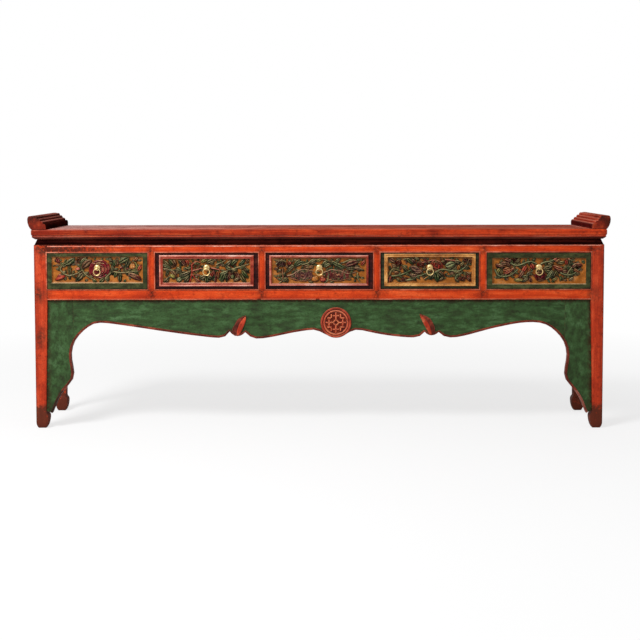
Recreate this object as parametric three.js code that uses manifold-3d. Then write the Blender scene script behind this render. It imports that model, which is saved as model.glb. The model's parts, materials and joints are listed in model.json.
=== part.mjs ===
// Altar console table: a long, narrow table with five drawers, upturned ends and a shaped front apron.
// Millimetres, +Z up, front facing -Y. The origin is on the floor under the middle of the table and its pulls.
import * as THREE from "three";
import { mergeVertices } from "three/addons/utils/BufferGeometryUtils.js";
import Module from "manifold-3d";

const wasm = await Module();
wasm.setup();

// Driving dimensions.
const FRAME_LENGTH = 2240; // outside of the legs
const FRAME_DEPTH = 381;
const LEG_WIDTH = 52; // seen from the front
const LEG_DEPTH = 48; // seen from the side
const LOWER_RAIL = { bottom: 509, top: 551 };
const UPPER_RAIL = { bottom: 695, top: 726 };
const WAIST_TOP = 748;
const BOARD_TOP = 787;
const FLANGE_TOP = 841;
const BOARD_OVERHANG = 8; // past the legs, on every side
const WAIST_SET_BACK = 12; // behind the legs, on every side
const BAY_WIDTHS = [396, 405, 422, 387, 409]; // set out by eye, so no two are alike
const DIVIDER_WIDTH = 29.25;
const RAIL_THICKNESS = 30;
const GAP = 0.3; // between pieces that touch

const HALF_LENGTH = FRAME_LENGTH / 2;
const HALF_DEPTH = FRAME_DEPTH / 2;
const LEG_INSIDE_X = HALF_LENGTH - LEG_WIDTH;
const LEG_INSIDE_Y = HALF_DEPTH - LEG_DEPTH;
const FRONT = -HALF_DEPTH;
const RAIL_BACK = FRONT + RAIL_THICKNESS;

// Painted and bare woods, and the brass of the pulls.
const finish = (color, roughness, metalness = 0) => new THREE.MeshStandardMaterial({ color, roughness, metalness });
const RED_LACQUER = finish(0xc4451c, 0.5);
const DARK_RED_LACQUER = finish(0x9c3a20, 0.45);
const GREEN_PAINT = finish(0x3c5a38, 0.6);
const GOLD_PAINT = finish(0xa97c35, 0.55);
const BARE_WOOD = finish(0x8a6a48, 0.8);
const BRASS = finish(0xc8a860, 0.35, 0.9);

const table = new THREE.Group();

function add(name, geometry, material, parent = table) {
  const mesh = new THREE.Mesh(geometry, material);
  mesh.name = name;
  parent.add(mesh);
  return mesh;
}

// A closed geometry as a solid that can be cut and joined.
function solid(geometry) {
  const bare = geometry.index ? geometry.toNonIndexed() : geometry.clone();
  bare.deleteAttribute("normal");
  bare.deleteAttribute("uv");
  const merged = mergeVertices(bare, 1e-3);
  const corners = merged.index.array;
  const kept = [];
  for (let i = 0; i < corners.length; i += 3) {
    const [a, b, c] = [corners[i], corners[i + 1], corners[i + 2]];
    if (a !== b && b !== c && c !== a) kept.push(a, b, c);
  }
  const vertProperties = merged.attributes.position.array;
  return new wasm.Manifold(new wasm.Mesh({ numProp: 3, vertProperties, triVerts: new Uint32Array(kept) }));
}

function geometryOf(body) {
  const mesh = body.getMesh();
  const geometry = new THREE.BufferGeometry();
  geometry.setAttribute("position", new THREE.BufferAttribute(mesh.vertProperties, 3));
  geometry.setIndex(new THREE.BufferAttribute(mesh.triVerts, 1));
  geometry.computeVertexNormals();
  return geometry;
}

// A straight board between two corners.
function board([x0, x1], [y0, y1], [z0, z1]) {
  const box = new THREE.BoxGeometry(x1 - x0, y1 - y0, z1 - z0);
  return box.translate((x0 + x1) / 2, (y0 + y1) / 2, (z0 + z1) / 2);
}

const outline = (points) => new THREE.Shape(points.map(([a, b]) => new THREE.Vector2(a, b)));

function extruded(shape, depth, curveSegments = 6) {
  return new THREE.ExtrudeGeometry(shape, { depth, bevelEnabled: false, curveSegments });
}

// Outlines drawn in the (x, z), (y, z) and (x, y) planes, given their thickness along the third axis.
const alongY = (shape, y0, y1) => extruded(shape, y1 - y0).rotateX(Math.PI / 2).translate(0, y1, 0);
const YZ_PLANE = new THREE.Matrix4().set(0, 0, 1, 0, 1, 0, 0, 0, 0, 1, 0, 0, 0, 0, 0, 1);
const alongX = (shape, x0, x1) => extruded(shape, x1 - x0).applyMatrix4(YZ_PLANE).translate(x0, 0, 0);
const alongZ = (shape, z0, z1) => extruded(shape, z1 - z0).translate(0, 0, z0);

// Joints. A tenon runs from a rail's shoulder into the leg, set back from the face; its mortise is a gap larger.
const TENON = { length: 24, sideLength: 22, setBack: 9, thickness: 12, shoulder: 6 };
const RAILS = [LOWER_RAIL, UPPER_RAIL];
const tenonHeight = (rail) => [rail.bottom + TENON.shoulder, rail.top - TENON.shoulder];
const grown = ([a, b], by) => [a - by, b + by];

// The corner joint of leg and upper rail is mitred on the face, in a layer in front of the tenon.
const MITRE = { layer: 8.4, tip: 7 };
const mitreLine = (grow) => [
  [LEG_WIDTH + grow, UPPER_RAIL.bottom - grow],
  [LEG_WIDTH + grow, UPPER_RAIL.top + 1],
  [MITRE.tip - grow, UPPER_RAIL.top + 1],
  [MITRE.tip - grow, UPPER_RAIL.top],
];

// Legs: square posts that taper below the lower rail, most of it on the inner sides, down to an ankle, and end in
// a hoof foot that swells inwards. Drawn from the outer corner, with u across the front and v to the back.
const LEG_TAPER = { inner: 10, outer: 1.5 };
const HOOF = { height: 58, ankle: 68, swell: 8, toe: 8, toeHeight: 24, instep: 3 };

// How far a leg's inner face has drawn back from its full width at the height z.
const drawnBack = (z) => (LEG_TAPER.inner * (LOWER_RAIL.bottom - z)) / (LOWER_RAIL.bottom - HOOF.ankle);

function legProfile(width) {
  const outer = LEG_TAPER.outer;
  const inner = width - LEG_TAPER.inner;
  const shape = new THREE.Shape();
  shape.moveTo(outer + HOOF.toe, 0);
  shape.quadraticCurveTo(outer + 1, HOOF.toeHeight * 0.4, outer, HOOF.toeHeight);
  shape.lineTo(0, LOWER_RAIL.bottom);
  shape.lineTo(0, UPPER_RAIL.top);
  shape.lineTo(width, UPPER_RAIL.top);
  shape.lineTo(width, LOWER_RAIL.bottom);
  shape.lineTo(inner, HOOF.ankle);
  shape.quadraticCurveTo(inner, HOOF.height + 1, inner + HOOF.swell - 3, HOOF.height - 2);
  shape.quadraticCurveTo(inner + HOOF.swell + 1, HOOF.height - 8, inner + HOOF.swell, HOOF.height - 20);
  shape.quadraticCurveTo(inner + HOOF.swell - 2, 12, inner - HOOF.instep, 0);
  shape.closePath();
  return shape;
}

function legSolid(isFront) {
  const corner = 5;
  const far = LEG_WIDTH + 2;
  const plan = outline([[corner, 0], [far, 0], [far, far], [0, far], [0, corner]]);
  let leg = solid(alongY(legProfile(LEG_WIDTH), 0, far))
    .intersect(solid(alongX(legProfile(LEG_DEPTH), 0, far)))
    .intersect(solid(alongZ(plan, -1, UPPER_RAIL.top + 1)));
  for (const rail of RAILS) {
    const height = grown(tenonHeight(rail), GAP);
    const across = grown([TENON.setBack, TENON.setBack + TENON.thickness], GAP);
    leg = leg
      .subtract(solid(board([LEG_WIDTH - TENON.length - GAP, LEG_WIDTH + 1], across, height)))
      .subtract(solid(board(across, [LEG_DEPTH - TENON.sideLength - GAP, LEG_DEPTH + 1], height)));
  }
  if (isFront) leg = leg.subtract(solid(alongY(outline(mitreLine(GAP)), -1, MITRE.layer + GAP)));
  return geometryOf(leg);
}

const frontLeg = legSolid(true);
const backLeg = legSolid(false);
for (const [side, sx] of [["left", -1], ["right", 1]])
  for (const [end, sy, geometry] of [["front", -1, frontLeg], ["back", 1, backLeg]]) {
    const leg = add(`leg_${end}_${side}`, geometry, RED_LACQUER);
    leg.position.set(sx * HALF_LENGTH, sy * HALF_DEPTH, 0);
    leg.scale.set(-sx, -sy, 1);
  }

// Where each drawer bay and each divider between them stands along the front.
const dividerCentres = [];
const bayCentres = [];
BAY_WIDTHS.reduce((x, width, i) => {
  bayCentres.push(x + width / 2);
  if (i < BAY_WIDTHS.length - 1) dividerCentres.push(x + width + DIVIDER_WIDTH / 2);
  return x + width + DIVIDER_WIDTH;
}, -LEG_INSIDE_X);

// Dividers: short posts between the drawers, whose pointed ends are let into the rails.
const POINT_LAYER = 12;

function dividerFace(grow) {
  const half = DIVIDER_WIDTH / 2 + grow;
  const [low, high] = [LOWER_RAIL.top, UPPER_RAIL.bottom];
  const reach = DIVIDER_WIDTH / 2 + grow - 1;
  return outline([[-half, low], [0, low - reach], [half, low], [half, high], [0, high + reach], [-half, high]]);
}

const dividerBack = [
  [-DIVIDER_WIDTH / 2, DIVIDER_WIDTH / 2],
  [FRONT + POINT_LAYER - 1, RAIL_BACK],
  grown([LOWER_RAIL.top, UPPER_RAIL.bottom], -GAP),
];
const divider = solid(alongY(dividerFace(0), FRONT, FRONT + POINT_LAYER)).add(solid(board(...dividerBack)));
dividerCentres.forEach((x, i) => {
  add(`divider_${i + 1}`, geometryOf(divider), RED_LACQUER).position.x = x;
});

// Front rails, with tenons at both ends and sockets for the dividers' points.
function frontRail(rail, body) {
  let made = withTenons(rail, body, FRONT + TENON.setBack);
  for (const x of dividerCentres) {
    const socket = alongY(dividerFace(GAP), FRONT - 1, FRONT + POINT_LAYER + GAP).translate(x, 0, 0);
    made = made.subtract(solid(socket));
  }
  return geometryOf(made);
}

function withTenons(rail, body, y) {
  const reach = LEG_INSIDE_X + TENON.length - GAP;
  return body.add(solid(board([-reach, reach], [y, y + TENON.thickness], tenonHeight(rail))));
}

const shoulders = [-LEG_INSIDE_X + GAP, LEG_INSIDE_X - GAP];
const lowerFront = solid(board(shoulders, [FRONT, RAIL_BACK], [LOWER_RAIL.bottom, LOWER_RAIL.top]));
const mitredFace = outline([
  [-LEG_INSIDE_X, UPPER_RAIL.bottom],
  [LEG_INSIDE_X, UPPER_RAIL.bottom],
  [HALF_LENGTH - MITRE.tip, UPPER_RAIL.top],
  [MITRE.tip - HALF_LENGTH, UPPER_RAIL.top],
]);
const upperFront = solid(board(shoulders, [FRONT, RAIL_BACK], [UPPER_RAIL.bottom, UPPER_RAIL.top])).add(
  solid(alongY(mitredFace, FRONT, FRONT + MITRE.layer)),
);
add("lower_front_rail", frontRail(LOWER_RAIL, lowerFront), RED_LACQUER);
add("upper_front_rail", frontRail(UPPER_RAIL, upperFront), RED_LACQUER);

// Back rails. The upper one is a deep board that also closes the waist behind.
const backTenonY = HALF_DEPTH - TENON.setBack - TENON.thickness;
const BACK_RAIL = [HALF_DEPTH - RAIL_THICKNESS, HALF_DEPTH];
const lowerBack = solid(board(shoulders, BACK_RAIL, [LOWER_RAIL.bottom, LOWER_RAIL.top]));
const waistBack = board(
  [-LEG_INSIDE_X + GAP, LEG_INSIDE_X - GAP],
  [BACK_RAIL[0], HALF_DEPTH - WAIST_SET_BACK],
  [UPPER_RAIL.top - 1, WAIST_TOP - GAP],
);
const upperBack = solid(board(shoulders, BACK_RAIL, [UPPER_RAIL.bottom, UPPER_RAIL.top])).add(solid(waistBack));
add("lower_back_rail", geometryOf(withTenons(LOWER_RAIL, lowerBack, backTenonY)), RED_LACQUER);
add("upper_back_rail", geometryOf(withTenons(UPPER_RAIL, upperBack, backTenonY)), RED_LACQUER);

// Each end: two rails tenoned between the legs, a panel between the rails and a small arched apron below.
const SIDE_PANEL = { setBack: 12, thickness: 9 };
const SIDE_APRON = { setBack: 8, thickness: 16, drop: 130, arch: 48, foot: 26 };

function sideRail(rail) {
  const body = board([0, RAIL_THICKNESS], grown([-LEG_INSIDE_Y, LEG_INSIDE_Y], -GAP), [rail.bottom, rail.top]);
  const reach = LEG_INSIDE_Y + TENON.sideLength - GAP;
  const across = [TENON.setBack, TENON.setBack + TENON.thickness];
  return geometryOf(solid(body).add(solid(board(across, [-reach, reach], tenonHeight(rail)))));
}

function sideApron() {
  const half = LEG_INSIDE_Y - GAP;
  const top = LOWER_RAIL.bottom - GAP;
  const low = top - SIDE_APRON.drop;
  const arch = top - SIDE_APRON.arch;
  const shape = new THREE.Shape();
  shape.moveTo(-half, top);
  shape.lineTo(-half - drawnBack(low), low);
  shape.quadraticCurveTo(-half + SIDE_APRON.foot * 0.4, low, -half + SIDE_APRON.foot * 0.6, low + 22);
  shape.bezierCurveTo(-half + SIDE_APRON.foot, low + 52, -half + 50, arch, 0, arch);
  shape.bezierCurveTo(half - 50, arch, half - SIDE_APRON.foot, low + 52, half - SIDE_APRON.foot * 0.6, low + 22);
  shape.quadraticCurveTo(half - SIDE_APRON.foot * 0.4, low, half + drawnBack(low), low);
  shape.lineTo(half, top);
  shape.closePath();
  return alongX(shape, SIDE_APRON.setBack, SIDE_APRON.setBack + SIDE_APRON.thickness);
}

for (const [side, sx] of [["left", -1], ["right", 1]]) {
  const end = new THREE.Group();
  end.position.x = sx * HALF_LENGTH;
  end.scale.x = -sx;
  table.add(end);
  add(`upper_side_rail_${side}`, sideRail(UPPER_RAIL), RED_LACQUER, end);
  add(`lower_side_rail_${side}`, sideRail(LOWER_RAIL), RED_LACQUER, end);
  const panel = board(
    [SIDE_PANEL.setBack, SIDE_PANEL.setBack + SIDE_PANEL.thickness],
    grown([-LEG_INSIDE_Y, LEG_INSIDE_Y], -GAP),
    grown([LOWER_RAIL.top, UPPER_RAIL.bottom], -GAP),
  );
  add(`side_panel_${side}`, panel, RED_LACQUER, end);
  add(`side_apron_${side}`, sideApron(), GREEN_PAINT, end);
}

// Back panel, between the back rails.
const BACK_PANEL = { setBack: 10, thickness: 8 };
const backPanel = board(
  shoulders,
  [HALF_DEPTH - BACK_PANEL.setBack - BACK_PANEL.thickness, HALF_DEPTH - BACK_PANEL.setBack],
  grown([LOWER_RAIL.top, UPPER_RAIL.bottom], -GAP),
);
add("back_panel", backPanel, BARE_WOOD);

// Dust board that the drawers slide on, with a guide strip behind each divider to keep them straight.
const DUST_BOARD = { thickness: 10, guideWidth: 22, guideHeight: 15 };
const insideDepth = [RAIL_BACK + GAP, BACK_RAIL[0] - GAP];
const insideLength = grown([-LEG_INSIDE_X, LEG_INSIDE_X], -1);
let dustBoard = solid(board(insideLength, insideDepth, [LOWER_RAIL.top - DUST_BOARD.thickness, LOWER_RAIL.top]));
for (const x of dividerCentres) {
  const guide = board(
    [x - DUST_BOARD.guideWidth / 2, x + DUST_BOARD.guideWidth / 2],
    insideDepth,
    [LOWER_RAIL.top - 1, LOWER_RAIL.top + DUST_BOARD.guideHeight],
  );
  dustBoard = dustBoard.add(solid(guide));
}
add("dust_board", geometryOf(dustBoard), BARE_WOOD);

// Waist: the narrow strips, set back, between the frame and the top. Their faces slope, out at the frame and in
// under the top, on the front and on both sides.
const WAIST = { foot: 3, thickness: 18 };
const [waistLow, waistHigh] = grown([UPPER_RAIL.top, WAIST_TOP], -GAP);
const waistInside = WAIST_SET_BACK + WAIST.thickness;
const waistSlope = [
  [WAIST.foot, waistLow],
  [WAIST_SET_BACK, waistHigh],
  [waistInside, waistHigh],
  [waistInside, waistLow],
];
const waistLength = outline([
  [WAIST.foot - HALF_LENGTH, waistLow],
  [HALF_LENGTH - WAIST.foot, waistLow],
  [HALF_LENGTH - WAIST_SET_BACK, waistHigh],
  [WAIST_SET_BACK - HALF_LENGTH, waistHigh],
]);
const frontSlope = outline(waistSlope.map(([inwards, z]) => [inwards - HALF_DEPTH, z]));
const waistFront = solid(alongX(frontSlope, -HALF_LENGTH, HALF_LENGTH)).intersect(
  solid(alongY(waistLength, -HALF_DEPTH, 0)),
);
add("waist_front", geometryOf(waistFront), DARK_RED_LACQUER);
for (const [side, sx] of [["left", -1], ["right", 1]]) {
  const strip = alongY(outline(waistSlope), waistInside + GAP - HALF_DEPTH, HALF_DEPTH - WAIST_SET_BACK);
  const waist = add(`waist_${side}`, strip, DARK_RED_LACQUER);
  waist.position.x = sx * HALF_LENGTH;
  waist.scale.x = -sx;
}

// Top: a mitred frame with a moulded edge round a floating panel. The moulding is drawn as distance in from the
// edge and height: a swelling band, a groove, a bead and a cove back to the waist.
const MEMBER_WIDTH = 72;
const TONGUE = { depth: 10, thickness: 6, below: 8 };
const boardX = HALF_LENGTH + BOARD_OVERHANG;
const boardY = HALF_DEPTH + BOARD_OVERHANG;

function edgeMoulding() {
  const shape = new THREE.Shape();
  const groove = BOARD_TOP - 24;
  shape.moveTo(MEMBER_WIDTH, WAIST_TOP);
  shape.lineTo(MEMBER_WIDTH, BOARD_TOP);
  shape.lineTo(3.5, BOARD_TOP);
  shape.quadraticCurveTo(0.5, BOARD_TOP - 1, 0.3, BOARD_TOP - 6);
  shape.quadraticCurveTo(-0.3, BOARD_TOP - 13, 1, groove + 2);
  shape.lineTo(4.5, groove);
  shape.quadraticCurveTo(0.5, groove - 4.5, 5, groove - 8);
  shape.quadraticCurveTo(8, WAIST_TOP + 4, 14, WAIST_TOP);
  shape.closePath();
  return shape;
}

// One side of the mitred frame: the moulding run along X and cut at 45 degrees at both ends.
function frameMember(halfLength) {
  const run = solid(alongX(edgeMoulding(), -halfLength, halfLength));
  const mitre = outline([[-halfLength, 0], [halfLength, 0], [0, halfLength]]);
  const groove = board(
    [-halfLength, halfLength],
    [MEMBER_WIDTH - TONGUE.depth - GAP, MEMBER_WIDTH + 1],
    grown([BOARD_TOP - TONGUE.below - TONGUE.thickness, BOARD_TOP - TONGUE.below], GAP),
  );
  return geometryOf(run.intersect(solid(alongZ(mitre, 0, FLANGE_TOP))).subtract(solid(groove)));
}

const longMember = frameMember(boardX - GAP);
const shortMember = frameMember(boardY - GAP);
const MEMBERS = [
  ["top_front_member", longMember, 0, -boardY, 0],
  ["top_back_member", longMember, 0, boardY, Math.PI],
  ["top_left_member", shortMember, -boardX, 0, -Math.PI / 2],
  ["top_right_member", shortMember, boardX, 0, Math.PI / 2],
];
for (const [name, geometry, x, y, turn] of MEMBERS) {
  const member = add(name, geometry, DARK_RED_LACQUER);
  member.position.set(x, y, 0);
  member.rotation.z = turn;
}

// The panel's tongue runs in the frame's groove. Two battens, fixed across underneath, keep it flat.
const PANEL_THICKNESS = 17;
const BATTEN = { width: 40, x: 560 };
const panelX = boardX - MEMBER_WIDTH - GAP;
const panelY = boardY - MEMBER_WIDTH - GAP;
const panelHeight = [BOARD_TOP - PANEL_THICKNESS, BOARD_TOP - 1];
const tongueX = panelX + TONGUE.depth;
const tongueY = panelY + TONGUE.depth;
let panel = solid(board([-panelX, panelX], [-panelY, panelY], panelHeight)).add(
  solid(
    board(
      [-tongueX, tongueX],
      [-tongueY, tongueY],
      [BOARD_TOP - TONGUE.below - TONGUE.thickness, BOARD_TOP - TONGUE.below],
    ),
  ),
);
for (const x of [-BATTEN.x, BATTEN.x]) {
  const across = [x - BATTEN.width / 2, x + BATTEN.width / 2];
  panel = panel.add(solid(board(across, grown([-panelY, panelY], -1), [WAIST_TOP + 2, panelHeight[0] + 1])));
}
add("top_panel", geometryOf(panel), DARK_RED_LACQUER);

// Upturned ends: a block on each short member, with a reeded slope inside and an undercut face outside.
// Drawn as distance in from the end of the top and height above it.
const FLANGE = { inner: 59, step: 13, lip: 13, reeds: 4 };

function flangeProfile() {
  const top = FLANGE_TOP - BOARD_TOP;
  const from = new THREE.Vector2(FLANGE.inner, FLANGE.step);
  const to = new THREE.Vector2(14, top - 2);
  const shape = new THREE.Shape();
  shape.moveTo(1, GAP);
  shape.bezierCurveTo(-6, 8, -12, 20, -FLANGE.lip, 34);
  shape.quadraticCurveTo(-FLANGE.lip - 1, top - 3, -6, top - 1);
  shape.quadraticCurveTo(4, top + 1, to.x, to.y);
  for (let i = FLANGE.reeds; i > 0; i--) {
    const end = to.clone().lerp(from, (FLANGE.reeds - i + 1) / FLANGE.reeds);
    const crown = to.clone().lerp(from, (FLANGE.reeds - i + 0.5) / FLANGE.reeds).add(new THREE.Vector2(5, 7));
    shape.quadraticCurveTo(crown.x, crown.y, end.x, end.y);
  }
  shape.lineTo(FLANGE.inner, GAP);
  shape.closePath();
  return shape;
}

const flange = alongY(flangeProfile(), -boardY + 1, boardY - 1);
for (const [side, sx] of [["left", -1], ["right", 1]]) {
  const block = add(`end_flange_${side}`, flange, DARK_RED_LACQUER);
  block.position.set(sx * boardX, 0, BOARD_TOP);
  block.scale.x = -sx;
}

// Front apron. Its lower edge swings up from a bracket beside each leg to a high arch, and runs down to a leaf on
// either side of a round boss. The boss stands a little to the right of the middle.
const APRON = { setBack: 6, thickness: 18, bead: 8, beadProud: 2.5, seam: 968 };
const BOSS = { x: 67.5, z: 419, radius: 60, rim: 16, proud: 4 };
const LEG_SIDE = LEG_INSIDE_X - GAP;
const APRON_TOP = LOWER_RAIL.bottom - GAP;

// The bracket's edge from the foot of the leg up to the arch, as distance in from the leg and height.
const BRACKET = [[13, 60], [22, 80], [31, 104], [53, 143], [78, 173], [94, 196], [98, 222], [94, 250]];
const BRACKET_TOP = [[89, 290], [98, 335], [123, 372], [163, 405], [208, 419]];
const bracketEdge = [...BRACKET, ...BRACKET_TOP].map(([inwards, z]) => [LEG_SIDE - inwards, z]);
const leftBracket = bracketEdge.map(([x, z]) => [-x, z]);
const rightBracket = bracketEdge.map(([x, z]) => [x, z]).reverse();

// Smooth runs between the sharp notches, from left to right.
const EDGE_RUNS = [
  [...leftBracket, [-750, 406], [-624, 387], [-498, 369.5], [-400, 359], [-370, 364], [-351, 384]],
  [[-351, 384], [-338, 371], [-320, 365.5], [-303, 370], [-290, 381]],
  [[-290, 381], [-276, 367], [-243, 355.5], [-182, 363], [-100, 380], [-25, 390.5], [4, 384], [22, 375]]
    .concat([[40, 365.5], [BOSS.x, 359], [95, 366], [113, 376.5], [131, 386], [160, 390], [227, 376], [290, 366]])
    .concat([[362, 360], [395, 364], [417, 382]]),
  [[417, 382], [428, 372], [443, 368], [459, 371.5], [472, 381]],
  [[472, 381], [490, 366], [525, 359.5], [574, 367], [637, 384], [700, 400], [790, 417], ...rightBracket],
];
const SEGMENT = 26; // length of one step along the edge
const apronEdge = EDGE_RUNS.flatMap((run, i) => {
  const curve = new THREE.SplineCurve(run.map(([x, z]) => new THREE.Vector2(x, z)));
  const points = curve.getSpacedPoints(Math.max(6, Math.round(curve.getLength() / SEGMENT)));
  return i === 0 ? points : points.slice(1);
});

// The same edge moved up into the board, for the inner side of its bead.
function movedIn(points, distance) {
  return points.map((point, i) => {
    const before = points[Math.max(0, i - 1)];
    const after = points[Math.min(points.length - 1, i + 1)];
    const along = after.clone().sub(before).normalize();
    return new THREE.Vector2(point.x - along.y * distance, point.y + along.x * distance);
  });
}

// The sides follow the legs' taper, down to the bracket's toe, which clears the hoof.
const TOE = BRACKET[0][1] + 9;
const apronOutline = new THREE.Shape([
  new THREE.Vector2(-LEG_SIDE, APRON_TOP),
  new THREE.Vector2(-LEG_SIDE - drawnBack(TOE), TOE),
  ...apronEdge,
  new THREE.Vector2(LEG_SIDE + drawnBack(TOE), TOE),
  new THREE.Vector2(LEG_SIDE, APRON_TOP),
]);
const beadOutline = new THREE.Shape([...apronEdge, ...movedIn(apronEdge, APRON.bead).reverse()]);
const apronFace = FRONT + APRON.setBack;

// A carved leaf, wide at its foot and pointed above, as stations along its spine: [x, z, half width].
const LEAVES = {
  left: [[-320, 368, 11], [-323, 388, 19], [-320, 408, 11], [-309, 426, 11], [-287, 446, 2]],
  right: [[444, 371, 9], [443, 388, 14], [437, 410, 14], [424, 430, 12], [398, 451, 2]],
};
const LEAF_PROUD = 4;

function leafShape(stations) {
  const spine = new THREE.SplineCurve(stations.map(([x, z]) => new THREE.Vector2(x, z)));
  const width = new THREE.SplineCurve(stations.map(([, , half], i) => new THREE.Vector2(i, half)));
  const steps = 10;
  const sides = [[], []];
  for (let i = 0; i <= steps; i++) {
    const t = i / steps;
    const at = spine.getPoint(t);
    const across = spine.getTangent(t).rotateAround(new THREE.Vector2(), Math.PI / 2);
    const half = width.getPoint(t).y;
    sides[0].push(at.clone().addScaledVector(across, -half));
    sides[1].push(at.clone().addScaledVector(across, half));
  }
  return new THREE.Shape([...sides[0], ...sides[1].reverse()]);
}

function roundBoss() {
  const face = apronFace - BOSS.proud;
  const disc = new THREE.Shape().absarc(0, 0, BOSS.radius, 0, 2 * Math.PI);
  const field = new THREE.Shape().absarc(0, 0, BOSS.radius - BOSS.rim, 0, 2 * Math.PI);
  return solid(alongY(disc, face, apronFace + 1))
    .subtract(solid(alongY(field, face - 1, face + 3)))
    .translate(BOSS.x, 0, BOSS.z);
}

let apron = solid(alongY(apronOutline, apronFace, apronFace + APRON.thickness)).add(
  solid(alongY(beadOutline, apronFace - APRON.beadProud, apronFace + 1)),
);
for (const stations of Object.values(LEAVES))
  apron = apron.add(solid(alongY(leafShape(stations), apronFace - LEAF_PROUD, apronFace + 1)));
apron = apron.add(roundBoss());

const wholeApron = ([x0, x1]) => solid(board([x0, x1], [FRONT - 9, 0], [0, LOWER_RAIL.top]));
const between = apron.intersect(wholeApron([-APRON.seam + GAP / 2, APRON.seam - GAP / 2]));
add("front_apron", geometryOf(between), GREEN_PAINT);
for (const [side, range] of [
  ["left", [-HALF_LENGTH, -APRON.seam - GAP / 2]],
  ["right", [APRON.seam + GAP / 2, HALF_LENGTH]],
])
  add(`apron_bracket_${side}`, geometryOf(apron.intersect(wholeApron(range))), GREEN_PAINT);

// Drawers. Each group stands at the middle of its bay, with y from the face backwards and z from the rail up.
const BAY_HEIGHT = UPPER_RAIL.bottom - LOWER_RAIL.top;
const DRAWER = { clearance: 1, front: 20, side: 11, length: 322, top: 132, field: 8, bottom: 7, bottomAt: 10 };
const BOX_CLEARANCE = 3; // each side of the box inside its bay
// The carved field's margins in its front, [left, right, below, above]. A raised front has its rim set off by a
// sunk border; a flat one is flush all over.
const FLAT = { rim: 0, sunk: 0, material: GREEN_PAINT };
const RAISED = { rim: 14, sunk: 5, material: DARK_RED_LACQUER };
const FRONTS = [
  { ...FLAT, margins: [18, 18, 26, 13] },
  { ...RAISED, margins: [29, 30, 25, 22] },
  { ...RAISED, rim: 9, margins: [23, 26, 22, 18] },
  { ...RAISED, rim: 12, margins: [26, 25, 23, 16], material: GOLD_PAINT },
  { ...FLAT, margins: [21, 19, 20, 20] },
];
// The pull: a low domed stud with an eye on its lower half, and a ring that hangs through the eye.
const RING = { radius: 13, wire: 2 };
const PULL = { z: 86, domeRadius: 12.5, domeHeight: 7, shank: 2.6, washer: 5.5 };
const EYE = { drop: 3.5, out: 11, radius: 4.6, hole: 2.5, thickness: 4.4, neck: 2.4 };

function drawerFront(width, { rim, sunk, margins }) {
  const half = width / 2 - DRAWER.clearance;
  const [low, high] = [DRAWER.clearance, BAY_HEIGHT - DRAWER.clearance];
  const [left, right, below, above] = margins;
  const field = { x: [-half + left, half - right], z: [low + below, high - above] };
  let front = solid(board([-half, half], [0, DRAWER.front], [low, high]));
  if (sunk) {
    const rimX = grown(field.x, rim);
    const rimZ = grown(field.z, rim);
    const border = solid(board([-half - 1, half + 1], [-1, sunk], [low - 1, high + 1]));
    front = front.subtract(border.subtract(solid(board(rimX, [-2, sunk + 1], rimZ))));
  }
  const seatRadius = PULL.domeRadius - 0.5;
  const seat = new THREE.CylinderGeometry(seatRadius, seatRadius, DRAWER.front, 16);
  const hole = new THREE.CylinderGeometry(PULL.shank + GAP, PULL.shank + GAP, DRAWER.front * 2, 8);
  return geometryOf(
    front
      .subtract(solid(board(field.x, [-1, DRAWER.field], field.z)))
      .add(solid(seat.translate(0, DRAWER.front / 2, PULL.z)))
      .subtract(solid(hole.translate(0, 0, PULL.z))),
  );
}

function drawerBox(width) {
  const outer = width / 2 - BOX_CLEARANCE;
  const inner = outer - DRAWER.side;
  const start = DRAWER.front + GAP;
  const end = DRAWER.length;
  const plan = outline([
    [-outer, start],
    [-inner, start],
    [-inner, end - DRAWER.side],
    [inner, end - DRAWER.side],
    [inner, start],
    [outer, start],
    [outer, end],
    [-outer, end],
  ]);
  const groove = board(
    [-inner - 4, inner + 4],
    [start - 1, end - DRAWER.side + 4],
    grown([DRAWER.bottomAt, DRAWER.bottomAt + DRAWER.bottom], GAP),
  );
  return geometryOf(solid(alongZ(plan, GAP, DRAWER.top)).subtract(solid(groove)));
}

function drawerBottom(width) {
  const reach = width / 2 - BOX_CLEARANCE - DRAWER.side + 4 - GAP;
  const length = [DRAWER.front + GAP, DRAWER.length - DRAWER.side + 4 - GAP];
  return board([-reach, reach], length, [DRAWER.bottomAt, DRAWER.bottomAt + DRAWER.bottom]);
}

// The stud is turned in one piece from the dome to the washer riveted behind the drawer front.
function stud() {
  const back = -DRAWER.front - 3;
  const profile = [[0, back], [PULL.washer, back], [PULL.washer, back + 3 - GAP], [PULL.shank, back + 3 - GAP]];
  profile.push([PULL.shank, GAP], [PULL.domeRadius, GAP]);
  const turns = 6;
  const brim = 1.2;
  for (let i = 0; i <= turns; i++) {
    const angle = (Math.PI / 2) * (i / turns);
    const radius = i === turns ? 0 : PULL.domeRadius * Math.cos(angle);
    profile.push([radius, brim + (PULL.domeHeight - brim) * Math.sin(angle)]);
  }
  const turned = new THREE.LatheGeometry(profile.map(([radius, out]) => new THREE.Vector2(radius, out)), 20);
  const neck = new THREE.CylinderGeometry(EYE.neck, EYE.neck, 5, 10).translate(0, EYE.out - EYE.hole - 3.5, 0);
  const eye = new THREE.CylinderGeometry(EYE.radius, EYE.radius, EYE.thickness, 16).rotateZ(Math.PI / 2);
  const hole = new THREE.CylinderGeometry(EYE.hole, EYE.hole, 2 * EYE.thickness, 16).rotateZ(Math.PI / 2);
  const standing = (geometry, out) => solid(geometry.translate(0, out, EYE.drop).rotateZ(Math.PI).rotateY(Math.PI));
  return geometryOf(
    solid(turned.rotateZ(Math.PI))
      .add(standing(neck, 0))
      .add(standing(eye, EYE.out))
      .subtract(standing(hole, EYE.out)),
  );
}

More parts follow.
